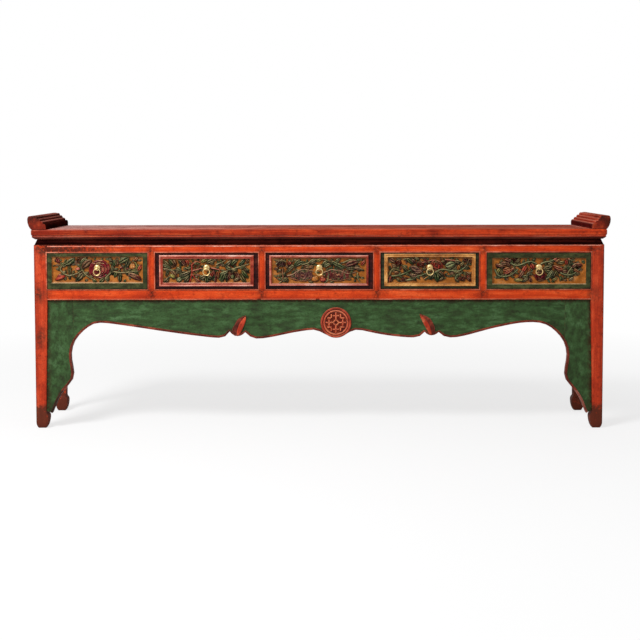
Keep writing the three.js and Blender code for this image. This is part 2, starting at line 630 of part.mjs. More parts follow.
const ring = new THREE.TorusGeometry(RING.radius, RING.wire, 8, 24).rotateX(Math.PI / 2).translate(0, 0, -RING.radius);
const studGeometry = stud();

FRONTS.forEach((style, i) => {
  const n = i + 1;
  const width = BAY_WIDTHS[i];
  const drawer = new THREE.Group();
  drawer.position.set(bayCentres[i], FRONT, LOWER_RAIL.top);
  table.add(drawer);
  add(`drawer_${n}_front`, drawerFront(width, style), style.material, drawer);
  add(`drawer_${n}_box`, drawerBox(width), BARE_WOOD, drawer);
  add(`drawer_${n}_bottom`, drawerBottom(width), BARE_WOOD, drawer);
  add(`drawer_${n}_stud`, studGeometry, BRASS, drawer).position.z = PULL.z;
  add(`drawer_${n}_ring`, ring, BRASS, drawer).position.set(0, -EYE.out, PULL.z - EYE.drop);
});

// The pulls stand further out than the top does behind, so the table moves back to centre the whole.
table.position.y = (EYE.out + EYE.radius - BOARD_OVERHANG) / 2;
const centred = new THREE.Group().add(table);

export default centred;
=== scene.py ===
import json
import math
import random

import bpy
from mathutils import Matrix, Vector

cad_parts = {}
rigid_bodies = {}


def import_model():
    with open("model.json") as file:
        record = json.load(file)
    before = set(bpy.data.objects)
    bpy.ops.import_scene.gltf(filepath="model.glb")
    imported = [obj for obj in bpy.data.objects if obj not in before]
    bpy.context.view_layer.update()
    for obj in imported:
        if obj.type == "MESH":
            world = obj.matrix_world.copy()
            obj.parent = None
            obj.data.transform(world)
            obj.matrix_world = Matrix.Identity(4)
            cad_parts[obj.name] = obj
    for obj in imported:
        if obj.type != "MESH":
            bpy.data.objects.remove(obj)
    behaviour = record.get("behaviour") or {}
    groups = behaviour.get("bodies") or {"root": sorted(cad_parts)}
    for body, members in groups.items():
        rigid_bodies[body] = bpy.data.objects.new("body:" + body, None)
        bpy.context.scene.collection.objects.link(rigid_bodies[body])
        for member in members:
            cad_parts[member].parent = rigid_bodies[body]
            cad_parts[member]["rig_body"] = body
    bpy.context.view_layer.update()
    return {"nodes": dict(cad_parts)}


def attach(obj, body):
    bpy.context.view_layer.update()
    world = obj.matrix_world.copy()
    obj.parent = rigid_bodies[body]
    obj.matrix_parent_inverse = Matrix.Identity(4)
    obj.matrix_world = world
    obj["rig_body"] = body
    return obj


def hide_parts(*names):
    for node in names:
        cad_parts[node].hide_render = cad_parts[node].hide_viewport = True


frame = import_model()

# The table stands on a pale studio floor and is seen straight from the front, a little from above.
# A soft lamp hangs high at the upper left, and a pale room fills the shadows.
view = bpy.data.cameras.new("front_view")
view.lens = 64.86
view.sensor_width = 36
view.shift_y = -0.1395
camera = bpy.data.objects.new("front_view", view)
bpy.context.collection.objects.link(camera)
turn = Matrix.Rotation(math.radians(0.30), 4, "Z") @ Matrix.Rotation(math.radians(87.15), 4, "X")
camera.matrix_world = (
    Matrix.Translation((0.029, -4.6987, 1.006)) @ turn @ Matrix.Rotation(math.radians(-0.09), 4, "Z")
)
bpy.context.scene.camera = camera
bpy.context.scene.view_settings.view_transform = "Standard"


def tint(red, green, blue):
    """A colour mixed from its red, green and blue in 255 parts."""
    parts = [part / 255 for part in (red, green, blue)]
    return tuple(part / 12.92 if part < 0.04 else ((part + 0.055) / 1.055) ** 2.4 for part in parts) + (1.0,)


def put(tree, kind, inputs=None, **settings):
    """Places a node, sets it up and plugs in its inputs."""
    node = tree.nodes.new("ShaderNode" + kind)
    for setting, value in settings.items():
        setattr(node, setting, value)
    for socket, value in (inputs or {}).items():
        if isinstance(value, bpy.types.NodeSocket):
            tree.links.new(value, node.inputs[socket])
        else:
            node.inputs[socket].default_value = value
    return node


def blended(tree, share, under, over):
    """Lays one colour over another by a share."""
    return put(tree, "Mix", {0: share, 6: under, 7: over}, data_type="RGBA").outputs[2]


def spread(tree, value, low, high, least=0.0, most=1.0):
    """Stretches a value between two limits."""
    inputs = {"Value": value, "From Min": low, "From Max": high, "To Min": least, "To Max": most}
    return put(tree, "MapRange", inputs).outputs[0]


def reckon(tree, way, first, second):
    """One sum in the node tree."""
    return put(tree, "Math", {0: first, 1: second}, operation=way, use_clamp=way != "MULTIPLY").outputs[0]


def fresh_material(name):
    """An empty material with its shader."""
    material = bpy.data.materials.new(name)
    material.use_nodes = True
    return material, material.node_tree, material.node_tree.nodes["Principled BSDF"]


def alone(piece):
    """Selects one piece and nothing else."""
    bpy.ops.object.select_all(action="DESELECT")
    piece.select_set(True)
    bpy.context.view_layer.objects.active = piece


def settle(piece):
    """Puts a piece's place into its mesh, so that its object stands at the origin."""
    alone(piece)
    bpy.ops.object.transform_apply(location=True, rotation=True, scale=True)


bpy.ops.object.select_all(action="DESELECT")
bpy.ops.mesh.primitive_plane_add(size=30, location=(0, 0, 0))
floor = bpy.context.object
floor.name = "studio_floor"
settle(floor)
floor_paint, tree, shader = fresh_material("studio_floor")
cloud = put(tree, "TexNoise", {"Scale": 3.0, "Detail": 3.0})
shade = blended(tree, cloud.outputs["Fac"], tint(250, 250, 250), tint(246, 246, 247))
tree.links.new(shade, shader.inputs["Base Color"])
shader.inputs["Roughness"].default_value = 0.9
shader.inputs["Specular IOR Level"].default_value = 0.1
place = put(tree, "TexCoord").outputs["Object"]
away = put(tree, "VectorMath", {0: place}, operation="LENGTH").outputs["Value"]
NEAR, FAR = 1.2, 3.2  # between these distances the floor turns to pure white
far = spread(tree, away, NEAR, FAR, 0.72, 1.0)
seen = put(tree, "LightPath").outputs["Is Camera Ray"]
glow = put(tree, "Emission", {"Color": (1, 1, 1, 1), "Strength": 1.0})
white_out = reckon(tree, "MULTIPLY", far, seen)
mixed = put(tree, "MixShader", {0: white_out, 1: shader.outputs[0], 2: glow.outputs[0]})
tree.links.new(mixed.outputs[0], tree.nodes["Material Output"].inputs["Surface"])
floor.data.materials.append(floor_paint)

room = bpy.data.worlds.new("pale_room")
bpy.context.scene.world = room
room.use_nodes = True
tree = room.node_tree
path = put(tree, "LightPath")
seen = reckon(tree, "MAXIMUM", path.outputs["Is Camera Ray"], path.outputs["Is Glossy Ray"])
seen = reckon(tree, "MAXIMUM", seen, path.outputs["Is Transmission Ray"])
FILL_LIGHT = 0.36
tree.links.new(spread(tree, seen, 0, 1, FILL_LIGHT, 1.0), tree.nodes["Background"].inputs["Strength"])
tree.nodes["Background"].inputs["Color"].default_value = (1, 1, 1, 1)

lamp = bpy.data.lights.new("soft_lamp", "AREA")
lamp.size = 1.4
lamp.energy = 235
hung = bpy.data.objects.new("soft_lamp", lamp)
bpy.context.collection.objects.link(hung)
hung.location = (-2.4, -3.0, 4.0)
hung.rotation_euler = (Vector((0, 0, 0.5)) - hung.location).to_track_quat("-Z", "Y").to_euler()


# Four legs of squared hardwood that taper to a hoof foot, lacquered vermilion over a pinkish ground.
# The rails' tenons go into them, and the front pair are mitred to the upper rail. Hands and brooms have
# rubbed their arrises down to the dark wood, and smoke and oil have blackened their joints and feet.
def effect(name, inputs, outputs):
    """An empty node group with its sockets."""
    group = bpy.data.node_groups.new(name, "ShaderNodeTree")
    for label, kind, value in inputs:
        socket = group.interface.new_socket(label, in_out="INPUT", socket_type="NodeSocket" + kind)
        socket.default_value = value
    for label, kind in outputs:
        group.interface.new_socket(label, in_out="OUTPUT", socket_type="NodeSocket" + kind)
    return group, group.nodes.new("NodeGroupInput").outputs, group.nodes.new("NodeGroupOutput").inputs


def shaded(tree, colour, share):
    """The same colour, lighter or darker."""
    return put(tree, "VectorMath", {0: colour, 3: share}, operation="SCALE").outputs[0]


def whereabouts(tree):
    """Each point's place on the table."""
    return put(tree, "TexCoord").outputs["Object"]


def noise(tree, place, scale, detail, rough=0.5):
    """Cloudy variation, finer as the scale grows."""
    inputs = {"Vector": place, "Scale": scale, "Detail": detail, "Roughness": rough}
    return put(tree, "TexNoise", inputs).outputs[0]


# Brushed coats: long streaks along the grain, clouds of fading, blotches of old oil, and fine specks.
white = (1, 1, 1, 1)
brushed, given, out = effect(
    "brushed_coats",
    [(coat, "Color", white) for coat in ("Coat", "Deep", "Faded")] + [("Grain", "Vector", (1, 1, 1))],
    [("Color", "Color"), ("Height", "Float"), ("Cloud", "Float")],
)
place = whereabouts(brushed)
along = put(brushed, "VectorMath", {0: place, 1: given["Grain"]}, operation="MULTIPLY").outputs[0]
streak = noise(brushed, along, 60, 7, 0.62)
hair = noise(brushed, along, 320, 4, 0.6)
cloud = noise(brushed, place, 13, 6, 0.6)
blotch = noise(brushed, place, 44, 8, 0.74)
speck = noise(brushed, place, 240, 4, 0.75)
deepened = reckon(brushed, "ADD", spread(brushed, streak, 0.44, 0.66, 0, 0.7),
                  spread(brushed, cloud, 0.50, 0.70, 0, 0.55))
colour = blended(brushed, deepened, given["Coat"], given["Deep"])
pale = reckon(brushed, "MULTIPLY", spread(brushed, streak, 0.52, 0.34),
              spread(brushed, cloud, 0.56, 0.40, 0.2, 0.9))
colour = blended(brushed, pale, colour, given["Faded"])
colour = blended(brushed, spread(brushed, hair, 0.48, 0.72, 0, 0.5), colour, given["Deep"])
oily = shaded(brushed, given["Deep"], 0.62)
colour = blended(brushed, spread(brushed, blotch, 0.53, 0.68, 0, 0.75), colour, oily)
colour = shaded(brushed, colour, spread(brushed, speck, 0.3, 0.7, 0.76, 1.24))
brushed.links.new(colour, out["Color"])
ridges = reckon(brushed, "MULTIPLY", hair, 0.6)
ridges = put(brushed, "Math", {0: ridges, 1: reckon(brushed, "MULTIPLY", streak, 0.9)}).outputs[0]
brushed.links.new(ridges, out["Height"])
brushed.links.new(cloud, out["Cloud"])

# Rubbed edges: the coat is worn through where an arris stands out, in broken patches.
rubbed, given, out = effect(
    "rubbed_edges",
    [("Width", "Float", 0.003), ("Broken", "Float", 45.0)],
    [("Worn", "Float")],
)
soft = put(rubbed, "Bevel", {"Radius": given["Width"]}, samples=6).outputs[0]
true = put(rubbed, "NewGeometry").outputs["Normal"]
bent = put(rubbed, "VectorMath", {0: soft, 1: true}, operation="DOT_PRODUCT").outputs["Value"]
edge = spread(rubbed, bent, 0.985, 0.80)
patchy = noise(rubbed, whereabouts(rubbed), given["Broken"], 6, 0.68)
worn = reckon(rubbed, "MULTIPLY", edge, spread(rubbed, patchy, 0.36, 0.54))
rubbed.links.new(worn, out["Worn"])

# Corner shade and dirt: painted shade in the corners, and the darkening marked at a piece's spots.
shade_and_dirt, given, out = effect(
    "corner_shade_and_dirt",
    [("Reach", "Float", 0.02), ("Joints", "Float", 0.0)],
    [("ShadeAndDirt", "Float")],
)
# Painted shade: ambient occlusion darkens the corners.
corner = put(shade_and_dirt, "AmbientOcclusion", {"Distance": given["Reach"]}, samples=8, only_local=True)
patchy = noise(shade_and_dirt, whereabouts(shade_and_dirt), 70, 7, 0.74)
crust = spread(shade_and_dirt, patchy, 0.35, 0.60, 0.45, 1)
dark_tone = reckon(shade_and_dirt, "MULTIPLY", spread(shade_and_dirt, corner.outputs["AO"], 0.92, 0.40), crust)
blot = reckon(shade_and_dirt, "MULTIPLY", given["Joints"], spread(shade_and_dirt, patchy, 0.38, 0.56, 0.12, 1))
shade_and_dirt.links.new(reckon(shade_and_dirt, "MAXIMUM", dark_tone, blot), out["ShadeAndDirt"])

GROUND_COAT = (220, 140, 112)
OLD_WOOD = (78, 32, 18)
SHADE_AND_SOOT = (46, 20, 12)


def facing_up(tree):
    """How far a surface faces up, from -1 to 1."""
    return put(tree, "SeparateXYZ", {0: put(tree, "NewGeometry").outputs["Normal"]}).outputs["Z"]


def surfaced(tree, shader, colour, dull, height, strength, relief):
    """Gives a material's shader its colour, its roughness and its relief."""
    bump = put(tree, "Bump", {"Height": height, "Strength": strength, "Distance": relief}).outputs[0]
    for given, socket in ((colour, "Base Color"), (dull, "Roughness"), (bump, "Normal")):
        tree.links.new(given, shader.inputs[socket])


def coated(name, coat, deep, faded, grain, bare=GROUND_COAT, dark_tone=SHADE_AND_SOOT, wear=(0.0035, 45.0), reach=0.018,
           gloss=0.42, relief=0.0004, shine=0.1, lit=0.0):
    """A lacquer or paint finish, worn at its edges, darkened at marked spots, with painted shade in corners
    and below.

    The grain says how close the streaks lie along each axis: the smaller, the longer they run. The wear is
    the width of the rubbed edges and how finely they are broken. Where the piece faces up, the ground coat
    is painted on as a highlight, as strongly as lit says.
    """
    material, tree, shader = fresh_material(name)
    bare, dark_tone = tint(*bare), tint(*dark_tone)
    coats = {"Coat": tint(*coat), "Deep": tint(*deep), "Faded": tint(*faded), "Grain": grain}
    body = put(tree, "Group", coats, node_tree=brushed).outputs
    worn = put(tree, "Group", {"Width": wear[0], "Broken": wear[1]}, node_tree=rubbed).outputs["Worn"]
    # The spots marked on a piece carry its joint dirt and some painted shadows.
    joints = put(tree, "Attribute", attribute_name="grime_and_shade").outputs["Fac"]
    grime_and_shade = put(tree, "Group", {"Reach": reach, "Joints": joints}, node_tree=shade_and_dirt).outputs["ShadeAndDirt"]
    facing = facing_up(tree)
    colour = blended(tree, reckon(tree, "MULTIPLY", worn, 0.85), body["Color"], bare)
    # Painted highlight: faces turned up take the ground coat, as strongly as lit says.
    colour = blended(tree, spread(tree, facing, 0.30, 0.80, 0, lit), colour, bare)
    # Painted shade: corners and faces turned down darken, together with the marked spots.
    darkening = reckon(tree, "MAXIMUM", grime_and_shade, spread(tree, facing, -0.15, -0.80, 0, 0.75))
    colour = blended(tree, reckon(tree, "MULTIPLY", darkening, 0.9), colour, dark_tone)
    dull = spread(tree, body["Cloud"], 0.35, 0.7, gloss - 0.08, gloss + 0.14)
    dull = reckon(tree, "ADD", dull, reckon(tree, "MULTIPLY", worn, 0.22))
    dull = reckon(tree, "ADD", dull, reckon(tree, "MULTIPLY", grime_and_shade, 0.2))
    height = reckon(tree, "SUBTRACT", body["Height"], reckon(tree, "MULTIPLY", worn, 0.5))
    surfaced(tree, shader, colour, dull, height, 0.45, relief)
    shader.inputs["Specular IOR Level"].default_value = shine
    return material


SHARP = math.radians(32)


def worked(name, rounding=0.0012):
    """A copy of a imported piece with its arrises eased, standing in for it and moving with it."""
    source = frame["nodes"][name]
    piece = bpy.data.objects.new("worn_" + name, source.data.copy())
    bpy.context.collection.objects.link(piece)
    piece.data.materials.clear()
    alone(piece)
    bpy.ops.object.mode_set(mode="EDIT")
    bpy.ops.mesh.select_all(action="SELECT")
    bpy.ops.mesh.customdata_custom_splitnormals_clear()
    bpy.ops.mesh.remove_doubles(threshold=0.00002)
    bpy.ops.mesh.dissolve_limited(angle_limit=math.radians(0.6))
    bpy.ops.object.mode_set(mode="OBJECT")
    if rounding:
        eased = piece.modifiers.new("eased arrises", "BEVEL")
        eased.width = rounding
        eased.segments = 2
        eased.limit_method = "ANGLE"
        eased.angle_limit = SHARP
        bpy.ops.object.modifier_apply(modifier=eased.name)
    bpy.ops.object.shade_smooth_by_angle(angle=SHARP)
    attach(piece, source["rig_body"])
    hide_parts(name)
    return piece


def finished(name, finish, rounding=0.0012):
    """A worked piece with one finish all over."""
    piece = worked(name, rounding)
    piece.data.materials.append(finish)
    return piece


def cut_across(piece, places, axis=0):
    """Cuts a piece's faces across at several places, so that it can be darkened there."""
    alone(piece)
    bpy.ops.object.mode_set(mode="EDIT")
    for place in places:
        centre = [0, 0, 0]
        centre[axis] = place
        normal = [0, 0, 0]
        normal[axis] = 1
        bpy.ops.mesh.select_all(action="SELECT")
        bpy.ops.mesh.bisect(plane_co=centre, plane_no=normal)
    bpy.ops.object.mode_set(mode="OBJECT")


def mark_dark_spots(piece, spots):
    """Marks where a piece is darkened, by handling and soot and by painted shadow from a gap or an overhang.

    Each spot is a place, how far the darkening reaches from there along each axis, and how strong it is.
    """
    marks = piece.data.attributes.new("grime_and_shade", "FLOAT", "POINT")
    for point, mark in zip(piece.data.vertices, marks.data):
        for spot, reach, strength in spots:
            away = Vector((a - b) / c for a, b, c in zip(point.co, spot, reach)).length
            mark.value = max(mark.value, strength * (1 - away))


def finish_by_place(piece, finishes, chosen):
    """Gives each face one of the finishes, chosen by the face's centre and normal."""
    for finish in finishes:
        piece.data.materials.append(finish)
    for face in piece.data.polygons:
        face.material_index = chosen(face.center, face.normal)


ANY = 1000.0
LEG_X, LEG_FRONT, LEG_BACK = 1.094, -0.163, 0.170
LEG_OUTSIDE = 1.120
LEG_CUTS = [0.012, 0.03, 0.06, 0.10, 0.14, 0.20, 0.30, 0.33, 0.36, 0.39, 0.42, 0.49, 0.51, 0.53, 0.55, 0.58,
            0.66, 0.69, 0.71]
LOWER_JOINT, UPPER_JOINT = 0.53, 0.712
FACE = -0.1867
lacquer_upright = coated("red_lacquer_upright", coat=(190, 60, 28), deep=(140, 38, 20),
                         faded=(208, 88, 52), grain=(1.0, 1.0, 0.07), bare=OLD_WOOD, dark_tone=(76, 38, 25),
                         wear=(0.007, 60.0))
for name in ("leg_front_left", "leg_front_right", "leg_back_left", "leg_back_right"):
    leg = finished(name, lacquer_upright, rounding=0.0016)
    side = -1 if name.endswith("left") else 1
    depth = LEG_FRONT if "front" in name else LEG_BACK
    cut_across(leg, LEG_CUTS, axis=2)
    cut_across(leg, [side * 1.084, side * 1.102, side * 1.114])
    spots = [((side * LEG_X, depth, 0.0), (0.14, 0.14, 0.10), 9.0),
             ((side * 1.075, depth, LOWER_JOINT), (0.06, 0.06, 0.05), 1.1),
             ((side * 1.08, depth, UPPER_JOINT), (0.06, 0.06, 0.045), 1.2)]
    if "front" in name:
        spots.append(((side * LEG_OUTSIDE, FACE, 0.36), (0.0075, 0.02, ANY), 1.2))
    if name == "leg_front_left":
        spots += [((-1.104, FACE, LOWER_JOINT), (0.03, 0.05, 0.05), 1.4),
                  ((-1.096, FACE, 0.36), (0.03, 0.05, 0.06), 1.5),
                  ((-1.076, FACE, 0.716), (0.05, 0.05, 0.04), 2.6)]
    mark_dark_spots(leg, spots)

# Two long front rails and four uprights part the drawers. All are lacquered as the legs are. A thin moulded
# bead outlines each opening, and others run along the top of the upper rail and the foot of the lower one.
# They are nailed on, are rubbed to the pink ground coat, and carry that coat on their upper sides as a
# painted highlight.
OPENING_CENTRES = [-0.870, -0.44025, 0.0025, 0.43625, 0.8635]
OPENING_WIDTHS = [0.396, 0.405, 0.422, 0.387, 0.409]
OPENING_LOW, OPENING_HIGH = 0.551, 0.695
UPRIGHTS = [-0.657375, -0.223125, 0.228125, 0.644375]
VERMILION = {"coat": (208, 68, 22), "deep": (166, 46, 16), "faded": (222, 96, 48)}
lacquer_long = coated("red_lacquer_long", **VERMILION, grain=(0.07, 1.0, 1.0), wear=(0.003, 45.0))
divider_red = coated("red_lacquer_divider", **VERMILION, grain=(1.0, 1.0, 0.07), bare=OLD_WOOD,
                     wear=(0.004, 60.0))
joints = [-1.07] + UPRIGHTS + [1.07]
RAIL_MIDDLES = {"upper_front_rail": 0.7105, "lower_front_rail": 0.530}
HEAD_BEAD = (0.7192, 0.7232)
for name, height in RAIL_MIDDLES.items():
    rail = finished(name, lacquer_long)
    cut_across(rail, [joint + step for joint in joints for step in (-0.05, -0.025, 0, 0.025, 0.05)])
    cut_across(rail, [height, HEAD_BEAD[1]], axis=2)
    worn_end = [((-1.045, FACE, 0.716), (0.085, 0.05, 0.04), 2.4)]
    # Painted shadow along the upper rail's top arris, under the overhanging top.
    arris_shadow = [((0, FACE, 0.7262), (ANY, 0.05, 0.0030), 1.6)]
    mark_dark_spots(rail, [((joint, FACE, height), (0.03, 0.05, 0.05), 1.0) for joint in joints] + worn_end + arris_shadow)
for number, x in enumerate(UPRIGHTS, 1):
    upright = finished(f"divider_{number}", divider_red)
    cut_across(upright, [0.545, 0.556, 0.575, 0.62, 0.67, 0.69, 0.70], axis=2)
    mark_dark_spots(upright, [((x, FACE, 0.545), (0.03, 0.05, 0.03), 1.1),
                     ((x, FACE, 0.702), (0.03, 0.05, 0.035), 1.3)])


def moulded(name, low, high, back, proud, rounding, hollow=None, sides=4):
    """A thin moulding on a front: a sheet, hollowed out if it runs round a field, and rounded over.

    It reaches across the front from one corner to the other, and stands proud of the level of its back.
    """
    bpy.ops.object.select_all(action="DESELECT")
    place = {"location": ((low[0] + high[0]) / 2, back, (low[1] + high[1]) / 2),
             "rotation": (math.radians(90), 0, 0)}
    if sides == 4:
        bpy.ops.mesh.primitive_plane_add(size=1, **place)
    else:
        bpy.ops.mesh.primitive_circle_add(vertices=sides, radius=0.5, fill_type="NGON", **place)
    piece = bpy.context.object
    piece.name = name
    piece.scale = (high[0] - low[0], high[1] - low[1], 1)
    settle(piece)
    bpy.ops.object.mode_set(mode="EDIT")
    bpy.ops.mesh.select_all(action="SELECT")
    if hollow:
        bpy.ops.mesh.inset(thickness=hollow)
        bpy.ops.mesh.delete(type="FACE")
        bpy.ops.mesh.select_all(action="SELECT")
    bpy.ops.mesh.extrude_region_move(TRANSFORM_OT_translate={"value": (0, -proud, 0)})
    bpy.ops.object.mode_set(mode="OBJECT")
    rounded = piece.modifiers.new("rounded over", "BEVEL")
    rounded.width, rounded.segments = rounding, 3
    bpy.ops.object.modifier_apply(modifier=rounded.name)
    bpy.ops.object.mode_set(mode="EDIT")
    bpy.ops.mesh.select_all(action="SELECT")
    bpy.ops.mesh.normals_make_consistent(inside=False)
    bpy.ops.object.mode_set(mode="OBJECT")
    bpy.ops.object.shade_smooth_by_angle(angle=math.radians(60))
    return piece


def fixed(piece, finish, body):
    """Paints a new piece and fixes it to its body."""
    piece.data.materials.append(finish)
    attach(piece, body)


BEAD = 0.0042
BEDDED = FACE + 0.0004  # the back of a trim lies a little inside the face that it is fixed to
THIN_BEAD = {"grain": (0.25, 1.0, 0.4), "wear": (0.0012, 80.0)}
bead_finish = coated("rubbed_bead", coat=(176, 76, 50), deep=(112, 36, 22), faded=(214, 132, 104),
                     bare=(224, 152, 126), lit=0.6, **THIN_BEAD)
for number, (centre, width) in enumerate(zip(OPENING_CENTRES, OPENING_WIDTHS), 1):
    low = (centre - width / 2 - BEAD, OPENING_LOW - BEAD)
    high = (centre + width / 2 + BEAD, OPENING_HIGH + BEAD)
    bead = moulded(f"opening_bead_{number}", low, high, BEDDED, 0.0018, 0.0011, hollow=BEAD)
    fixed(bead, bead_finish, "frame")
foot_bead = moulded("lower_rail_bead", (-1.0685, 0.5095), (1.0685, 0.5138), BEDDED, 0.0028, 0.0013)
DENTS = (-0.2345, -0.0038)
cut_across(foot_bead, [dent + step for dent in DENTS for step in (-0.009, -0.003, 0.003, 0.009)])
mark_dark_spots(foot_bead, [((dent, FACE, 0.5105), (0.008, 0.02, 0.02), 4.0) for dent in DENTS])
fixed(foot_bead, bead_finish, "frame")
head_bead = moulded("upper_rail_bead", (-1.066, HEAD_BEAD[0]), (1.108, HEAD_BEAD[1]), BEDDED, 0.0018, 0.0009)
pale_bead = coated("pale_bead", coat=(214, 112, 84), deep=(160, 62, 42), faded=(240, 186, 166),
                   bare=(244, 190, 168), lit=0.8, **THIN_BEAD)
RISE, LEVEL_AT = 0.001, -0.2  # this bead climbs a little towards the right end
for point in head_bead.data.vertices:
    point.co.z += RISE * (point.co.x - LEVEL_AT)
fixed(head_bead, pale_bead, "frame")

# The back and side rails tie the legs together: plain squared bars with a tenon at each end. They are
# lacquered like the rest, but have been handled less.
lacquer_deep = coated("red_lacquer_deep", **VERMILION, grain=(1.0, 0.07, 1.0), bare=OLD_WOOD)
for name in ("upper_back_rail", "lower_back_rail", "upper_side_rail_left", "upper_side_rail_right",
             "lower_side_rail_left", "lower_side_rail_right"):
    finished(name, lacquer_long if "back" in name else lacquer_deep)

# The recessed waist between rails and top: three thin strips of hardwood that slope inwards, mitred at the
# front corners. They are black with old lacquer and smoke and painted darker still as shade under the top;
# the browner tone towards their top is a painted highlight.
def along_table(tree, axis, low, high):
    """How far along one axis of the table a point lies, from 0 at one place to 1 at another."""
    place = put(tree, "SeparateXYZ", {0: whereabouts(tree)}).outputs[axis]
    return spread(tree, place, low, high)


def brushed_coat(material):
    """The sockets of a finish's brushed coats."""
    nodes = material.node_tree.nodes
    return next(node for node in nodes if node.type == "GROUP" and node.node_tree == brushed).inputs


waist_finish = coated("dark_waist", coat=(34, 8, 6), deep=(12, 2, 3), faded=(74, 22, 14),
                      grain=(0.07, 0.3, 1.0), bare=(110, 44, 30), shine=0.0)
tree = waist_finish.node_tree
# Painted highlight: the coat turns browner towards the top of the strips.
graded = blended(tree, along_table(tree, "Z", 0.733, 0.747), tint(30, 6, 4), tint(84, 30, 24))
tree.links.new(graded, brushed_coat(waist_finish)["Coat"])
for name in ("waist_front", "waist_left", "waist_right"):
    finished(name, waist_finish, rounding=0.0008)

# The top: four mitred members with a moulded edge, and a floating panel held by battens underneath.
# Its face is painted pale pink towards the left end and the back as a painted sheen, its front edge is
# vermilion, and the bead and cove below turn from brown to black: the bead has a painted highlight where it
# faces up, and the cove shares the waist's black finish, painted darker as shade under the edge.
EDGE_RED = {"coat": (194, 60, 24), "deep": (108, 24, 10), "faded": (200, 88, 46)}
edge_lacquer = coated("top_edge_lacquer", **EDGE_RED, grain=(0.06, 0.6, 2.2), dark_tone=(88, 22, 10),
                      wear=(0.005, 38.0))
edge_across = coated("top_edge_lacquer_across", **EDGE_RED, grain=(0.6, 0.06, 2.2), wear=(0.005, 38.0))
top_bead = coated("top_bead", coat=(138, 52, 38), deep=(70, 20, 18), faded=(184, 108, 88),
                  grain=(0.06, 0.06, 1.0), bare=(200, 126, 104), wear=(0.004, 30.0), lit=0.5)
top_face_painted_sheen = coated("top_face_painted_sheen", coat=(158, 64, 44), deep=(116, 48, 34), faded=(196, 136, 116),
                  grain=(0.06, 1.0, 1.0), gloss=0.34, shine=0.0)
tree = edge_lacquer.node_tree
graded = blended(tree, along_table(tree, "X", -1.1, 0.9), tint(140, 36, 12), tint(226, 72, 28))
tree.links.new(graded, brushed_coat(edge_lacquer)["Coat"])
# Painted sheen: the face is coloured pale pink towards the left end and the back, as a reflection of the
# bright room would make it.
tree = top_face_painted_sheen.node_tree
rightward = along_table(tree, "X", -1.0, -0.1)
near = blended(tree, rightward, tint(212, 150, 138), tint(212, 98, 66))
back = blended(tree, rightward, tint(190, 158, 154), tint(160, 88, 76))
graded = blended(tree, along_table(tree, "Y", -0.15, 0.10), near, back)
tree.links.new(graded, brushed_coat(top_face_painted_sheen)["Coat"])
tree.links.new(blended(tree, 0.35, graded, tint(232, 196, 182)), brushed_coat(top_face_painted_sheen)["Faded"])
FACE_LEVEL, EDGE_FOOT, BEAD_FOOT = 0.78, 0.7585, 0.7485


def member_place(centre, normal):
    """The face on top with its painted sheen, then the edge, the bead under it, and the cove down to the
    waist, dark as painted shade.
    """
    if normal.z > 0.95 and centre.z > FACE_LEVEL:
        return 3
    if centre.z > EDGE_FOOT:
        return 0
    return 1 if centre.z > BEAD_FOOT and abs(normal.z) < 0.95 else 2


for name in ("top_front_member", "top_back_member", "top_left_member", "top_right_member"):
    member = worked(name)
    cut_across(member, [-1.14, -1.11, -1.08, -1.04, 1.08, 1.11, 1.14])
    mark_dark_spots(member, [((side * 1.16, FACE - 0.008, 0.775), (0.11, 0.05, 0.05), 1.0) for side in (-1, 1)])
    edging = edge_lacquer if name in ("top_front_member", "top_back_member") else edge_across
    finish_by_place(member, (edging, top_bead, waist_finish, top_face_painted_sheen), member_place)
finished("top_panel", top_face_painted_sheen)

# The upturned ends: solid blocks, reeded on their inner slope, let into the end members of the top.
# The upright step at their inner side is painted dark as shade, near black on the left, whose lower reeds
# share it, and the left reeds are a darker maroon than the right ones as painted shade on the side turned
# from the lamp. Their front ends show the worn end grain.
# Painted shade: the maroon finish is a darkened copy of the red one, and the step's finish is near black.
flange_painted_shade = coated("flange_painted_shade", coat=(96, 26, 22), deep=(48, 10, 10), faded=(140, 62, 50),
                       grain=(0.6, 0.06, 0.6), bare=(196, 122, 106), wear=(0.006, 50.0), reach=0.008,
                       shine=0.0, lit=0.45)
flange_red = coated("flange_red", coat=(176, 52, 32), deep=(104, 24, 14), faded=(206, 92, 66),
                    grain=(0.6, 0.06, 0.6), bare=(226, 142, 116), wear=(0.0045, 50.0), reach=0.008,
                    dark_tone=(80, 20, 12), shine=0.0, lit=0.4)
flange_end = coated("flange_end", coat=(142, 42, 20), deep=(84, 20, 12), faded=(172, 72, 38),
                    grain=(0.5, 1.0, 0.5), bare=(70, 28, 16), wear=(0.005, 60.0))
flange_step_painted_shade = coated("flange_step_painted_shade", coat=(44, 10, 8), deep=(20, 4, 4), faded=(76, 26, 18),
                     grain=(0.6, 0.06, 0.6), bare=(150, 80, 64), wear=(0.003, 60.0), shine=0.0)
for name, reeds, step, side, below in (("end_flange_left", flange_painted_shade, flange_step_painted_shade, -1, 0.8120),
                                       ("end_flange_right", flange_red, flange_painted_shade, 1, 0.808)):
    flange = worked(name, rounding=0.0008)
    cut_across(flange, [0.800, 0.812, 0.824, 0.836], axis=2)
    mark_dark_spots(flange, [((side * 1.10, FACE - 0.008, 0.842), (0.04, 0.02, 0.03), 1.5),
                    ((side * 1.15, FACE - 0.008, 0.82), (0.04, 0.02, 0.04), 1.5)])

    def flange_place(centre, normal):
        """End grain at both ends, the painted shade of the upright step at the inner side, and the reeds
        above it.
        """
        if abs(normal.y) > 0.7:
            return 1
        return 2 if centre.z < below and abs(centre.x) < 1.12 and normal.x * side < 0.3 else 0

    finish_by_place(flange, (reeds, flange_end, step), flange_place)

